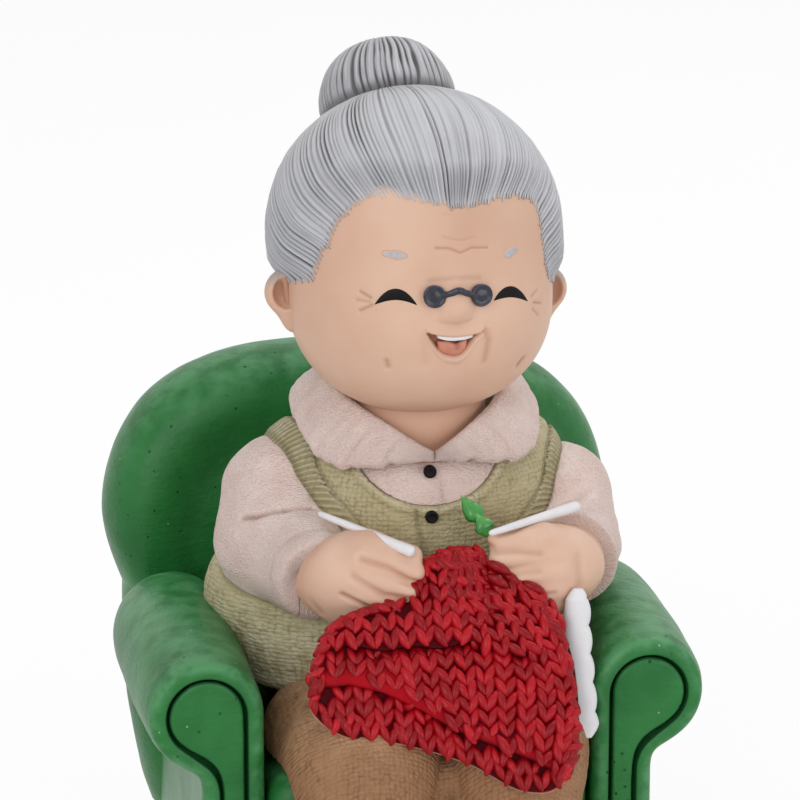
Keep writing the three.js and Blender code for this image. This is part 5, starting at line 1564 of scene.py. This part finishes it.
        # Painted shade in the ear's bowl.
        shape.values = {
            "wash": 0.55 * smooth_step(-bowl(p), -0.3, 0.15) * ahead,
            "accent": 0.75 * smooth_step(p[:, 2] - c[2] + side * 0.35 * (p[:, 0] - c[0]), 1.3, 2.8),
        }
        return shape

    def hairline(self, ways: Points) -> Points:
        """Positive where a direction lies behind the hairline, in degrees."""
        left = np.array([
            (0, 20), (22, 24), (36, 30), (46, 37), (52, 43), (62, 47), (74, 52), (87, 55), (94, 59), (100, 62),
            (105, 64), (106.5, 74), (109, 92), (112, 100), (180, 112)])
        right = np.array([
            (0, 20), (27, 22), (40, 28), (52, 37), (61, 46), (69, 51), (75, 51), (88, 51), (101, 54), (109, 56),
            (111, 70), (113, 92), (116, 100), (180, 112)])
        tilt = np.degrees(np.arccos(np.clip(-ways[:, 1], -1, 1)))
        turn = np.degrees(np.arctan2(ways[:, 0], ways[:, 2]))
        stops = np.where(turn < 0, np.interp(-turn, *left.T), np.interp(turn, *right.T))
        return tilt - stops

    def bun_frame(self) -> tuple[Points, Points, Points]:
        """The direction of the bun, and the two across it: to the front and to the right."""
        axis = vec(*self.bun_centre) / np.linalg.norm(self.bun_centre)
        fore = vec(0, -1, 0) - axis * float(vec(0, -1, 0) @ axis)
        fore /= np.linalg.norm(fore)
        return axis, fore, np.cross(fore, axis)

    def hair(self) -> Shape:
        """Hair combed back from a ragged hairline into the bun, in grooved strands."""
        around, steps = self.strands * 5, 82
        axis, fore, right = self.bun_frame()
        turn = full_turn(around)

        def way(tilt: Points) -> Points:
            """Directions at a tilt from the bun along each strand, drawn forward near the hairline."""
            bent = turn - 0.5 * np.sin(turn) * (tilt / 1.9) ** 2.5
            spoke = np.cos(bent)[..., None] * fore + np.sin(bent)[..., None] * right
            return axis * np.cos(tilt)[..., None] + spoke * np.sin(tilt)[..., None]

        low, high = np.full(around, 0.3), np.full(around, math.pi * 0.93)
        for probe in np.linspace(0.3, math.pi * 0.93, 240):
            outside = self.hairline(way(np.full(around, probe))) > 0
            high = np.where(outside | (low < probe - 0.02), high, np.minimum(high, probe))
            low = np.where(outside & (probe < high), probe, low)
        phase = turn * self.strands + 2.2 * np.sin(turn * 7 + 1) + 1.4 * np.sin(turn * 19 + 2)
        phase += 0.9 * np.sin(turn * 37)
        strand = 0.5 + 0.5 * np.cos(phase)
        ragged = hill_noise(np.stack([np.cos(turn) * 30, np.sin(turn) * 30, 0 * turn], axis=1), 1.7, 91)
        limit = low + 0.05 * strand + 0.02 * ragged - 0.01
        share = 1 - (1 - np.linspace(0, 1, steps)) ** 1.25
        tilt = 0.08 + (limit - 0.08)[None, :] * share[:, None]
        skin = cast(self.face, vec(0, 0, 0), way(tilt).reshape(-1, 3))
        out = slopes(self.face, skin)
        left = ((limit[None] - tilt) * 17).ravel()
        body = 0.12 + (self.hair_thickness - 0.12) * smooth_step(left, 0.0, 5.0)
        depth = np.interp(tilt.ravel(), [0.1, 0.5, 1.0, 3.0], [0.08, 0.2, 0.36, 0.36])
        depth *= 0.4 + 0.6 * smooth_step(left, 0, 3)
        drift = hill_noise(skin, 5.0, 92)
        phases = (phase[None] + 0 * tilt).ravel() + 1.1 * drift
        groove = (0.5 - 0.5 * np.cos(phases)) ** 2.2 * uneven_strands(phases, self.strands, 98)
        soft = 0.55 + 0.45 * smooth_step(hill_noise(skin, 6.0, 93), -0.5, 0.5)
        height = body - depth * groove * soft + 0.14 * drift + 0.05 * hill_noise(skin, 1.1, 94)
        outer = skin + out * height[:, None]
        under = [(skin - out * 0.35).reshape(steps, around, 3)[k] for k in (-1, 60, 40, 20, 0)]
        rings = list(outer.reshape(steps, around, 3)) + under
        shape = ring_shape(rings, rings[0].mean(0), rings[-1].mean(0))
        extra = len(shape.points) - len(outer)
        # Painted shade in the strands' grooves and on the hair's underside, less at the top front, where more
        # light falls.
        top = 0.6 * smooth_step(skin[:, 2], 5.5, 9.5) * smooth_step(-skin[:, 1], 0, 5)
        crown = 1 - top * bell(skin[:, 0], 2.0, 11.0)
        wash = np.concatenate([1.15 * groove * soft * crown, np.full(extra, 0.3)])
        wash[:steps * around] *= 0.6 + 0.4 * smooth_step(hill_noise(skin, 9.0, 95), -0.6, 0.4)
        weave = np.stack([(turn[None] * 70 + 0 * tilt).ravel(), (tilt * 0.9).ravel(), 0 * left], axis=1)
        shape.values = {"wash": wash, "weave": np.vstack([weave, np.zeros((extra, 3))])}
        return shape

    def bun(self) -> Shape:
        """A ball of wound strands that rise from its base and meet at its far end."""
        centre = vec(*self.bun_centre)
        axis, fore, right = self.bun_frame()
        around, steps = self.bun_strands * 9, 90
        turn, tilt = np.meshgrid(full_turn(around), np.linspace(0.02, math.pi - 0.02, steps))
        twist = turn + 0.25 * np.sin(tilt)
        spoke = np.cos(twist)[..., None] * fore + np.sin(twist)[..., None] * right
        ways = (-axis * np.cos(tilt)[..., None] + spoke * np.sin(tilt)[..., None]).reshape(-1, 3)
        points = cast(ellipsoid(centre, vec(*self.bun_radii)), centre, ways)
        drift = hill_noise(points, 3.0, 96)
        angle = turn.ravel()
        phase = angle * self.bun_strands + 2.6 * np.sin(angle * 5) + 1.1 * np.sin(angle * 17) + 1.2 * drift
        soft = 0.45 + 0.55 * smooth_step(hill_noise(points, 2.6, 97), -0.4, 0.5)
        groove = (0.5 - 0.5 * np.cos(phase)) ** 3.0 * soft * uneven_strands(phase, self.bun_strands, 99)
        fine = 0.5 - 0.5 * np.cos(phase * 3 + drift)
        ends = np.sin(tilt.ravel()) ** 0.6
        height = -0.36 * groove * ends - 0.06 * fine * ends + 0.14 * drift
        points = points + ways * height[:, None]
        rings = points.reshape(steps, around, 3)
        shape = ring_shape(list(rings), rings[0].mean(0), rings[-1].mean(0))
        # Painted shade in the grooves and round the bun's base, where it meets the head.
        base = smooth_step(-np.linalg.norm(points / vec(17.9, 17.6, 17.1), axis=1), -1.16, -1.0)
        wash = np.maximum(0.1 + 1.1 * groove * ends + 0.26 * fine * ends, 0.85 * base)
        weave = np.stack([(turn * 24).ravel(), (tilt * 1.6).ravel(), 0 * wash], axis=1)
        shape.values = {"wash": np.append(wash, [0.5, 0.5]), "weave": np.vstack([weave, np.zeros((2, 3))])}
        return shape

    def build(self) -> None:
        """Builds and dresses the head's pieces."""
        Piece("head_skin", self.head(), HEAD, SKIN).build()
        Piece("hair_cap_skin", self.hair(), HEAD, HAIR).build()
        Piece("hair_bun_skin", self.bun(), HEAD, HAIR).build()
        Piece("glasses_skin", self.glasses(), HEAD, DARK_LENS).build()
        Piece("teeth_skin", self.teeth(), HEAD, WHITE).build()
        Piece("tongue_skin", self.tongue(), HEAD, MOUTH_PINK).build()
        for name, side in SIDES:
            Piece(f"eye_{name}_skin", self.eye(side), HEAD, BLACK).build()
            Piece(f"eyebrow_{name}_skin", self.brow(side), HEAD, BROW).build()
            Piece(f"ear_{name}_skin", self.ear(side), HEAD, SKIN).build()


# The knitting


@dataclass(frozen=True)
class Lobe:
    """Half a stitch: its place seen from the front, lean, size, relief and tint.

    A relief under 1 is flatter. What is over 1 sets it forward, in millimetres.
    """

    x: float
    z: float
    lean: float
    size: float
    relief: float
    tint: float


@dataclass
class Knitting:
    """The red knitting on the lap with its stitches, the white wool and the leaf, in the figure's frame."""

    column_pitch: float = 2.2
    row_pitch: float = 1.45
    slope: float = 0.62
    top_forward: float = 25.0
    top_height: float = 24.0
    bulge: float = 1.5
    thickness: float = 4.6
    lobe_length: float = 3.0
    lobe_width: float = 1.28
    lobe_thickness: float = 1.4
    lean: float = 0.43
    edge_x: float = 13.8
    seed: int = 5

    def __post_init__(self) -> None:
        """Works out the outline and the lines of its folds."""
        knots = [(2.7, 25.7), (7.2, 22.5), (11.7, 19.6), (14.1, 14.3), (14.3, 7.5), (13.2, 2.5), (10.5, 0),
                 (6.5, 0.1), (0.6, 3.1), (-7.4, 5.6), (-14.5, 6.9), (-17.6, 9.5), (-16.9, 14), (-14.4, 18.2),
                 (-10.1, 19.6), (-5.3, 19.9), (-3.2, 21.6), (-1.4, 24.8)]
        self.centre = np.array([-1.0, 12.0])
        self.rim = curve_points(np.array([(x, 0, z) for x, z in knots]), 320, closed=True)[:, [0, 2]]
        away = self.rim - self.centre
        angle = np.arctan2(away[:, 1], away[:, 0])
        order = np.argsort(angle)
        self.angles, self.radii = angle[order], np.hypot(*away.T)[order]
        self.crease_line = np.array([
            (-18, 15.6), (-13.7, 16.2), (-5.6, 15.8), (1.8, 15.9), (8, 14.6), (10.5, 13.6)])
        self.hem_line = np.array([(-18, 11.2), (-15.9, 12.0), (-12.9, 12.3), (-9, 11.3), (-4.6, 9.2),
                                  (-1.2, 7.2), (3.4, 5.3), (7.8, 3.6), (11, 1.9), (15, -1)])

    def share(self, x: Points, z: Points) -> Points:
        """How far out in the outline points lie, 1 on its rim."""
        dx, dz = x - self.centre[0], z - self.centre[1]
        reach = np.interp(np.arctan2(dz, dx), self.angles, self.radii, period=2 * math.pi)
        return np.hypot(dx, dz) / reach

    def forward(self, z: Points) -> Points:
        """How far forward the sheet's middle lies at a height."""
        return self.top_forward + self.slope * (self.top_height - z)

    def folds(self, x: Points, z: Points) -> Points:
        """Height of the folds: a roll over the crease, and a hem that overhangs the layer below."""
        crease = np.interp(x, *self.crease_line.T) + 0.25 * np.sin(x * 0.9)
        hem = np.interp(x, *self.hem_line.T)
        end = smooth_step(-x, -10.5, -8.5)
        fall = np.exp(-np.maximum(z - crease, 0) / 3.2)
        roll = 0.85 * smooth_step(z, crease - 0.25, crease + 0.25) * fall * end
        dent = -0.5 * bell(z, crease - 0.5, 0.5) * end
        below = -1.25 * smooth_step(-z, -hem - 0.25, -hem + 0.35)
        lip = 0.55 * bell(z, hem + 0.55, 0.6)
        upright = -0.7 * bell(x, 4.5 + 0.02 * (24 - z), 0.45) * smooth_step(z, 17.6, 19)
        return roll + dent + below + lip + upright

    def front(self, x: Points, z: Points) -> Points:
        """The front surface's points at x and z."""
        body = np.sqrt(np.clip(1 - self.share(x, z) ** 3, 0, 1))
        y = -(self.forward(z) + (self.bulge + self.folds(x, z)) * np.clip(body * 1.35, 0, 1))
        return np.stack([x, y, z], axis=-1)

    def base(self) -> Shape:
        """The casting under the stitches."""
        around = len(self.rim)
        shares = [0.02, *np.linspace(0.06, 0.93, 46), 0.96, 0.98, 0.993, 1.0]
        rings = []
        for share in shares:
            flat = self.centre + (self.rim - self.centre) * share
            rings.append(self.front(flat[:, 0], flat[:, 1]))
        for share in (0.98, 0.93, 0.8, 0.6, 0.4, 0.2, 0.05):
            flat = self.centre + (self.rim - self.centre) * share
            body = math.sqrt(1 - share**3)
            y = -(self.forward(flat[:, 1]) - self.thickness * body * 0.85)
            rings.append(np.stack([flat[:, 0], y, flat[:, 1]], axis=1))
        shape = ring_shape(rings, rings[0].mean(0), rings[-1].mean(0))
        p = shape.points
        hem = np.interp(p[:, 0], *self.hem_line.T)
        order = np.arange(len(p))
        reach = 0.5 + 1.7 * bell(p[:, 0], -8.5, 4.5)
        smooth = np.where(p[:, 2] > hem, bell(p[:, 2], hem + 0.9, reach), bell(p[:, 2], hem + 0.5, 0.6))
        smooth *= order < around * len(shares)
        pale = (order >= around * (len(shares) - 2)) * (order < around * (len(shares) + 2)) * (p[:, 2] < hem)
        rough = 0.1 * hill_noise(p, 1.4, 101) + 0.05 * hill_noise(p, 0.5, 102)
        shape.points = p + np.outer(rough, [0, -1, 0])
        # Painted shade over the base between the stitches, except on the smooth hem band and the pale rim.
        shape.values = {
            "wash": 0.85 * (1 - np.maximum(smooth, pale)), "tint": 0.5 - 0.15 * smooth, "accent": 0.8 * pale}
        return shape

    def column_x(self, column: float, z: float) -> float:
        """Where a column of stitches runs at a height: straight on the left, along the rim on the right."""
        straight = column * self.column_pitch + 0.25 * math.sin(0.35 * z + column * 0.8)
        rim = float(np.interp(z, (0, 4, 10, 15, 19, 22, 25.5), (12.2, 13.3, 14.1, 13.6, 11.2, 8.0, 3.6)))
        follow = float(smooth_step(np.array(straight), -3.0, self.edge_x))
        return straight + follow * (rim - self.edge_x)

    @staticmethod
    def low_rim(x: float) -> float:
        """Height of the knitting's lower edge."""
        stops = (-17.6, -16.2, -14.5, -7.4, 0.6, 6.5, 10.5, 13.2)
        return float(np.interp(x, stops, (9.5, 7.6, 6.9, 5.6, 3.1, 0.1, 0, 2.5)))

    def lobes(self) -> list[Lobe]:
        """The half stitches in their columns, along the edges, and the lumps where the leaf lies."""
        random = np.random.default_rng(self.seed)
        out = []
        for column in range(-9, 8):
            for row in range(int(29 / self.row_pitch)):
                z = 26.4 - (row + 0.5) * self.row_pitch + 0.1 * random.normal()
                x = self.column_x(column + 0.5, z)
                hem = float(np.interp(x, *self.hem_line.T))
                if z < hem:
                    x += 0.9
                bare = 0.45 + 0.8 * math.exp(-(((x + 8.5) / 5) ** 2))
                outside = self.share(np.array([x]), np.array([z]))[0] > 0.985 or z < self.low_rim(x) + 1.3
                crease = float(np.interp(x, *self.crease_line.T))
                tucked = -0.85 < z - crease < -0.1 and x < self.crease_line[-1, 0]
                if -0.8 < z - hem < bare or outside:
                    continue
                reach = 1.2 + 1.8 * math.exp(-(((x + 8.5) / 3.5) ** 2))
                faint = 1 - 0.7 * math.exp(-(((z - hem - 1.4) / reach) ** 2)) if z > hem else 1.0
                above, below = (self.column_x(column + 0.5, z + step) for step in (0.5, -0.5))
                heading = math.atan2(above - below, 1.0)
                for side in (-1, 1):
                    lean = heading + side * self.lean * (1 + 0.22 * random.normal())
                    off = side * 0.54 + 0.05 * random.normal()
                    size = 1.0 + 0.09 * random.normal()
                    if tucked:
                        size, faint = size * 0.8, 0.4
                    place = x + off * math.cos(heading), z - off * math.sin(heading) - 0.35 * tucked
                    out.append(Lobe(*place, lean, size, faint, float(random.random())))
        upper = [(-3.1, 0, 21.9), (-1.5, 0, 24.3), (2.4, 0, 25.2), (6.4, 0, 22.6), (11, 0, 19.5),
                 (13, 0, 15.2), (13.5, 0, 8), (12.6, 0, 3.2), (10.6, 0, 1.2)]
        left = [(-17.1, 0, 10.2), (-16.5, 0, 14), (-14.1, 0, 17.9), (-10, 0, 19.4), (-5.2, 0, 19.8)]
        for edge in (curve_points(upper, 50), curve_points(left, 26)):
            for i, (a, b) in enumerate(zip(edge[:-1], edge[1:])):
                heading = math.atan2(b[0] - a[0], b[2] - a[2])
                flip = (0.5 if i % 2 else -0.5) + 0.2 * random.normal()
                out.append(Lobe(a[0], a[2], heading + flip, 0.95, 1.0, float(random.random())))
        for i, x in enumerate(np.arange(-15.8, 11.6, self.column_pitch / 2)):
            lean = self.lean if i % 2 else -self.lean
            z = self.low_rim(x) + 1.05 + 0.12 * random.normal()
            out.append(Lobe(x, z, lean, 0.95, 1.0, float(random.random())))
        lumps = ((6.1, 23.7, 1.15, 3.0), (7.4, 22.3, 1.0, 2.0), (5.8, 22.3, 1.0, 2.2), (10.2, 21.1, 1.1, 1.6))
        return out + [Lobe(x, z, 2.1, size, relief, 0.05) for x, z, size, relief in lumps]

    def stitch_tree(self) -> bpy.types.NodeTree:
        """Geometry nodes that set a half stitch on each point, turned and sized by the points' own values."""
        tree = bpy.data.node_groups.new("half_stitches", "GeometryNodeTree")
        face = tree.interface
        face.new_socket("Geometry", in_out="INPUT", socket_type="NodeSocketGeometry")
        for name in ("Length", "Width", "Thickness"):
            face.new_socket(name, in_out="INPUT", socket_type="NodeSocketFloat")
        face.new_socket("Paint", in_out="INPUT", socket_type="NodeSocketMaterial")
        face.new_socket("Geometry", in_out="OUTPUT", socket_type="NodeSocketGeometry")

        def add(kind: str, **settings: object) -> bpy.types.Node:
            """A node with its settings."""
            node = tree.nodes.new(kind)
            for key, value in settings.items():
                setattr(node, key, value)
            return node

        source, result = add("NodeGroupInput"), add("NodeGroupOutput")
        ball = add("GeometryNodeMeshUVSphere")
        ball.inputs["Segments"].default_value = 9
        ball.inputs["Rings"].default_value = 7
        ball.inputs["Radius"].default_value = 0.5
        position = add("GeometryNodeInputPosition")
        split = add("ShaderNodeSeparateXYZ")
        narrow = add("ShaderNodeCombineXYZ")
        square = add("ShaderNodeMath", operation="MULTIPLY")
        taper = add("ShaderNodeMath", operation="MULTIPLY_ADD")
        taper.inputs[1].default_value, taper.inputs[2].default_value = -1.25, 1.0
        narrow.inputs[2].default_value = 1.0
        drawn = add("ShaderNodeVectorMath", operation="MULTIPLY")
        pointed = add("GeometryNodeSetPosition")
        size = add("ShaderNodeCombineXYZ")
        shaped = add("GeometryNodeTransform")
        points = add("GeometryNodeMeshToPoints")
        place = add("GeometryNodeInstanceOnPoints")
        turn = add("GeometryNodeInputNamedAttribute", data_type="FLOAT_VECTOR")
        turn.inputs["Name"].default_value = "turn"
        scale = add("GeometryNodeInputNamedAttribute", data_type="FLOAT_VECTOR")
        scale.inputs["Name"].default_value = "size"
        real = add("GeometryNodeRealizeInstances")
        smooth = add("GeometryNodeSetShadeSmooth")
        dressed = add("GeometryNodeSetMaterial")
        link = tree.links.new
        for name, axis in (("Width", 0), ("Thickness", 1), ("Length", 2)):
            link(source.outputs[name], size.inputs[axis])
        link(position.outputs[0], split.inputs[0])
        link(split.outputs[2], square.inputs[0])
        link(split.outputs[2], square.inputs[1])
        link(square.outputs[0], taper.inputs[0])
        link(taper.outputs[0], narrow.inputs[0])
        link(taper.outputs[0], narrow.inputs[1])
        link(position.outputs[0], drawn.inputs[0])
        link(narrow.outputs[0], drawn.inputs[1])
        link(ball.outputs["Mesh"], pointed.inputs["Geometry"])
        link(drawn.outputs[0], pointed.inputs["Position"])
        link(pointed.outputs[0], shaped.inputs["Geometry"])
        link(size.outputs[0], shaped.inputs["Scale"])
        link(source.outputs["Geometry"], points.inputs["Mesh"])
        link(points.outputs[0], place.inputs["Points"])
        link(shaped.outputs[0], place.inputs["Instance"])
        link(turn.outputs["Attribute"], place.inputs["Rotation"])
        link(scale.outputs["Attribute"], place.inputs["Scale"])
        link(place.outputs[0], real.inputs[0])
        link(real.outputs[0], smooth.inputs[0])
        link(smooth.outputs[0], dressed.inputs["Geometry"])
        link(source.outputs["Paint"], dressed.inputs["Material"])
        link(dressed.outputs[0], result.inputs[0])
        return tree

    def stitches(self) -> bpy.types.Object:
        """All half stitches as one plain mesh."""
        lobes = self.lobes()
        x = np.array([lobe.x for lobe in lobes])
        z = np.array([lobe.z for lobe in lobes])
        step = 0.25
        at = self.front(x, z)
        rise = self.front(x, z + step) - self.front(x, z - step)
        over = self.front(x + step, z) - self.front(x - step, z)
        turns, sizes, places = [], [], []
        for i, lobe in enumerate(lobes):
            up = Vector(rise[i]).normalized()
            out = Vector(over[i]).cross(up).normalized()
            basis = Matrix((up.cross(out), -out, up)).transposed()
            turned = basis @ Matrix.Rotation(lobe.lean, 3, "Y")
            turns.append(list(turned.to_euler("XYZ")))
            sizes.append([lobe.size, lobe.size * min(0.55 + 0.45 * lobe.relief, 1.2), lobe.size])
            proud = 0.18 - 0.34 * (1 - min(lobe.relief, 1.0))
            places.append(at[i] + np.array(out) * proud - [0, max(lobe.relief - 1.0, 0.0), 0])
        mesh = bpy.data.meshes.new("stitch_points")
        mesh.from_pydata((FIGURE.out(np.array(places)) * MM).tolist(), [], [])
        for key, values in (("turn", turns), ("size", sizes), ("tint", [lobe.tint for lobe in lobes])):
            set_values(mesh, key, np.array(values))
        seed = linked(bpy.data.objects.new("stitch_points", mesh))
        modifier = seed.modifiers.new("stitches", "NODES")
        tree = self.stitch_tree()
        modifier.node_group = tree
        sockets = {s.name: s.identifier for s in tree.interface.items_tree if s.in_out == "INPUT"}
        modifier[sockets["Length"]] = self.lobe_length * MM
        modifier[sockets["Width"]] = self.lobe_width * MM
        modifier[sockets["Thickness"]] = self.lobe_thickness * MM
        modifier[sockets["Paint"]] = RED_WOOL.material()
        bpy.context.view_layer.update()
        graph = bpy.context.evaluated_depsgraph_get()
        made = bpy.data.meshes.new_from_object(seed.evaluated_get(graph))
        seed.modifiers.clear()
        bpy.data.objects.remove(seed)
        made.name = "knit_stitches"
        return linked(bpy.data.objects.new("knit_stitches", made))

    def tail(self) -> Shape:
        """The scalloped end of white wool that hangs beside the knitting."""
        knots = [(15.9, -26.9, 20.6), (15.7, -27.4, 15.6), (15.9, -29, 9.4), (16.0, -31.4, 3.2)]
        path = curve_points(knots, 110)
        share = np.linspace(0, 1, len(path))
        taper = np.clip(np.sin(math.pi * (0.015 + 0.965 * share)) * 3.2, 0, 1) ** 0.5
        half = 1.72 * taper * (0.8 + 0.2 * smooth_step(share, 0.0, 0.35))
        shape = tube_shape(path, half, 1.0 * taper, vec(1, 0, 0), 40)
        away = shape.points[:, 0] - np.interp(-shape.points[:, 2], -path[:, 2], path[:, 0])
        right = smooth_step(away, 0.2, 1.6)
        scallops = np.abs(np.sin(shape.points[:, 2] * math.pi / 3.3 + 0.4)) ** 0.7
        shape.points[:, 0] += right * (0.42 * scallops - 0.28)
        shape.points += 0.06 * hill_noise(shape.points, 1.6, 111)[:, None] * [0, -1, 0]
        return shape

    def leaf(self) -> Shape:
        """Two glossy, pointed and ridged lobes of a leaf."""
        blades = []
        for knots in ([(4.9, -22.9, 28.2), (3.9, -22.3, 29.6), (2.7, -21.3, 31.3)],
                      [(5.6, -24.0, 26.9), (4.9, -23.6, 28.1), (4.0, -22.8, 29.4)]):
            path = curve_points(knots, 24)
            share = np.linspace(0, 1, len(path))
            outline = np.clip(np.minimum((share + 0.12) / 0.45, (1.0 - share) / 0.55), 0.02, 1) ** 0.8
            blade = tube_shape(path, 1.3 * outline, 0.6 * outline, vec(0.8, 0.2, 0.5), 10)
            blade.points += 0.34 * hill_noise(blade.points, 0.9, 121)[:, None] * [0.6, -0.5, 0.5]
            blades.append(blade)
        return as_one(blades)

    def build(self) -> None:
        """Builds and dresses the knitting and what hangs with it."""
        Piece("knitting_skin", self.base(), FIGURE, RED_UNDERLAY).build()
        hand_over(self.stitches(), ("knitting",))
        Piece("wool_tail_skin", self.tail(), FIGURE, WHITE).build()
        Piece("leaf_skin", self.leaf(), FIGURE, LEAF_GREEN).build()


# The studio


@dataclass
class Studio:
    """Camera, pale floor and soft light."""

    azimuth: float = -10.0
    elevation: float = 14.0
    distance_mm: float = 450.0
    aim: tuple[float, float, float] = (1.4, CHAIR_Y, 66.0)
    lens_mm: float = 162.0
    world_strength: float = 0.56

    def camera(self) -> None:
        """Sets the camera at the photograph's viewing angle."""
        a, e = math.radians(self.azimuth), math.radians(self.elevation)
        back = Vector((math.sin(a) * math.cos(e), -math.cos(a) * math.cos(e), math.sin(e)))
        data = bpy.data.cameras.new("camera")
        data.lens, data.sensor_width, data.clip_start = self.lens_mm, 36.0, 0.01
        item = linked(bpy.data.objects.new("camera", data))
        item.location = (Vector(self.aim) + back * self.distance_mm) * MM
        item.rotation_euler = back.to_track_quat("Z", "Y").to_euler()
        bpy.context.scene.camera = item

    def lamp(self, name: str, place: Sequence[float], watts: float, size: float) -> None:
        """A soft square lamp that looks at the figurine."""
        data = bpy.data.lights.new(name, "AREA")
        data.energy, data.size = watts, size
        item = linked(bpy.data.objects.new(name, data))
        item.location = place
        item.rotation_euler = (Vector(place) - Vector((0, 0, 0.06))).to_track_quat("Z", "Y").to_euler()

    def floor(self) -> None:
        """A pale floor that keeps the figurine's shadow."""
        mesh = bpy.data.meshes.new("floor")
        half = 6.0
        corners = [(-half, -half, 0), (half, -half, 0), (half, half, 0), (-half, half, 0)]
        mesh.from_pydata(corners, [], [(0, 1, 2, 3)])
        item = linked(bpy.data.objects.new("floor", mesh))
        n = Nodes("pale_floor")
        grain = n.mix(n.noise(n.object_mm(), 0.02), (0.86, 0.86, 0.86), (0.9, 0.9, 0.9))
        plain = n.add("ShaderNodeBsdfDiffuse", {"Color": grain})
        glow = n.add("ShaderNodeEmission", {"Color": (1, 1, 1, 1), "Strength": 1.06})
        rays = n.add("ShaderNodeLightPath").outputs
        mirrored = n.math("ADD", rays["Is Glossy Ray"], rays["Is Transmission Ray"])
        direct = n.math("ADD", rays["Is Camera Ray"], mirrored)
        seen = n.math("MULTIPLY", direct, 0.8, clamp=True)
        both = n.add("ShaderNodeMixShader", {0: seen, 1: plain.outputs[0], 2: glow.outputs[0]})
        n.add("ShaderNodeOutputMaterial", {0: both.outputs[0]})
        mesh.materials.append(n.material)

    def world(self) -> None:
        """White all round, brighter to the camera than on the figurine."""
        world = bpy.data.worlds.new("studio")
        bpy.context.scene.world = world
        world.use_nodes = True
        tree = world.node_tree
        tree.nodes.clear()
        rays = tree.nodes.new("ShaderNodeLightPath")
        glow = tree.nodes.new("ShaderNodeBackground")
        low = tree.nodes.new("ShaderNodeBackground")
        mix = tree.nodes.new("ShaderNodeMixShader")
        out = tree.nodes.new("ShaderNodeOutputWorld")
        glow.inputs["Strength"].default_value = 1.0
        glow.inputs["Color"].default_value = (1, 1, 1, 1)
        low.inputs["Color"].default_value = (1, 1, 1, 1)
        low.inputs["Strength"].default_value = self.world_strength
        share: Socket = rays.outputs["Is Camera Ray"]
        for name in ("Is Glossy Ray", "Is Transmission Ray"):
            either = tree.nodes.new("ShaderNodeMath")
            either.operation = "MAXIMUM"
            tree.links.new(share, either.inputs[0])
            tree.links.new(rays.outputs[name], either.inputs[1])
            share = either.outputs[0]
        tree.links.new(share, mix.inputs[0])
        tree.links.new(low.outputs[0], mix.inputs[1])
        tree.links.new(glow.outputs[0], mix.inputs[2])
        tree.links.new(mix.outputs[0], out.inputs[0])

    def build(self) -> None:
        """Sets the whole studio."""
        self.camera()
        self.floor()
        self.world()
        self.lamp("key", (-0.5, -0.75, 0.45), 2.7, 0.6)
        self.lamp("fill", (0.5, -0.75, 0.12), 2.2, 0.6)
        self.lamp("top", (0.4, 0.3, 0.88), 2.1, 0.7)
        bpy.context.scene.view_settings.view_transform = "Standard"


def main() -> None:
    """Builds the studio and every sub-assembly in order."""
    logging.basicConfig(level=logging.INFO, format="%(name)s: %(message)s")
    for part in (Studio(), Armchair(), Body(), HeadPiece(), Knitting()):
        LOG.info("building %s", type(part).__name__)
        part.build()


if __name__ == "__main__":
    main()
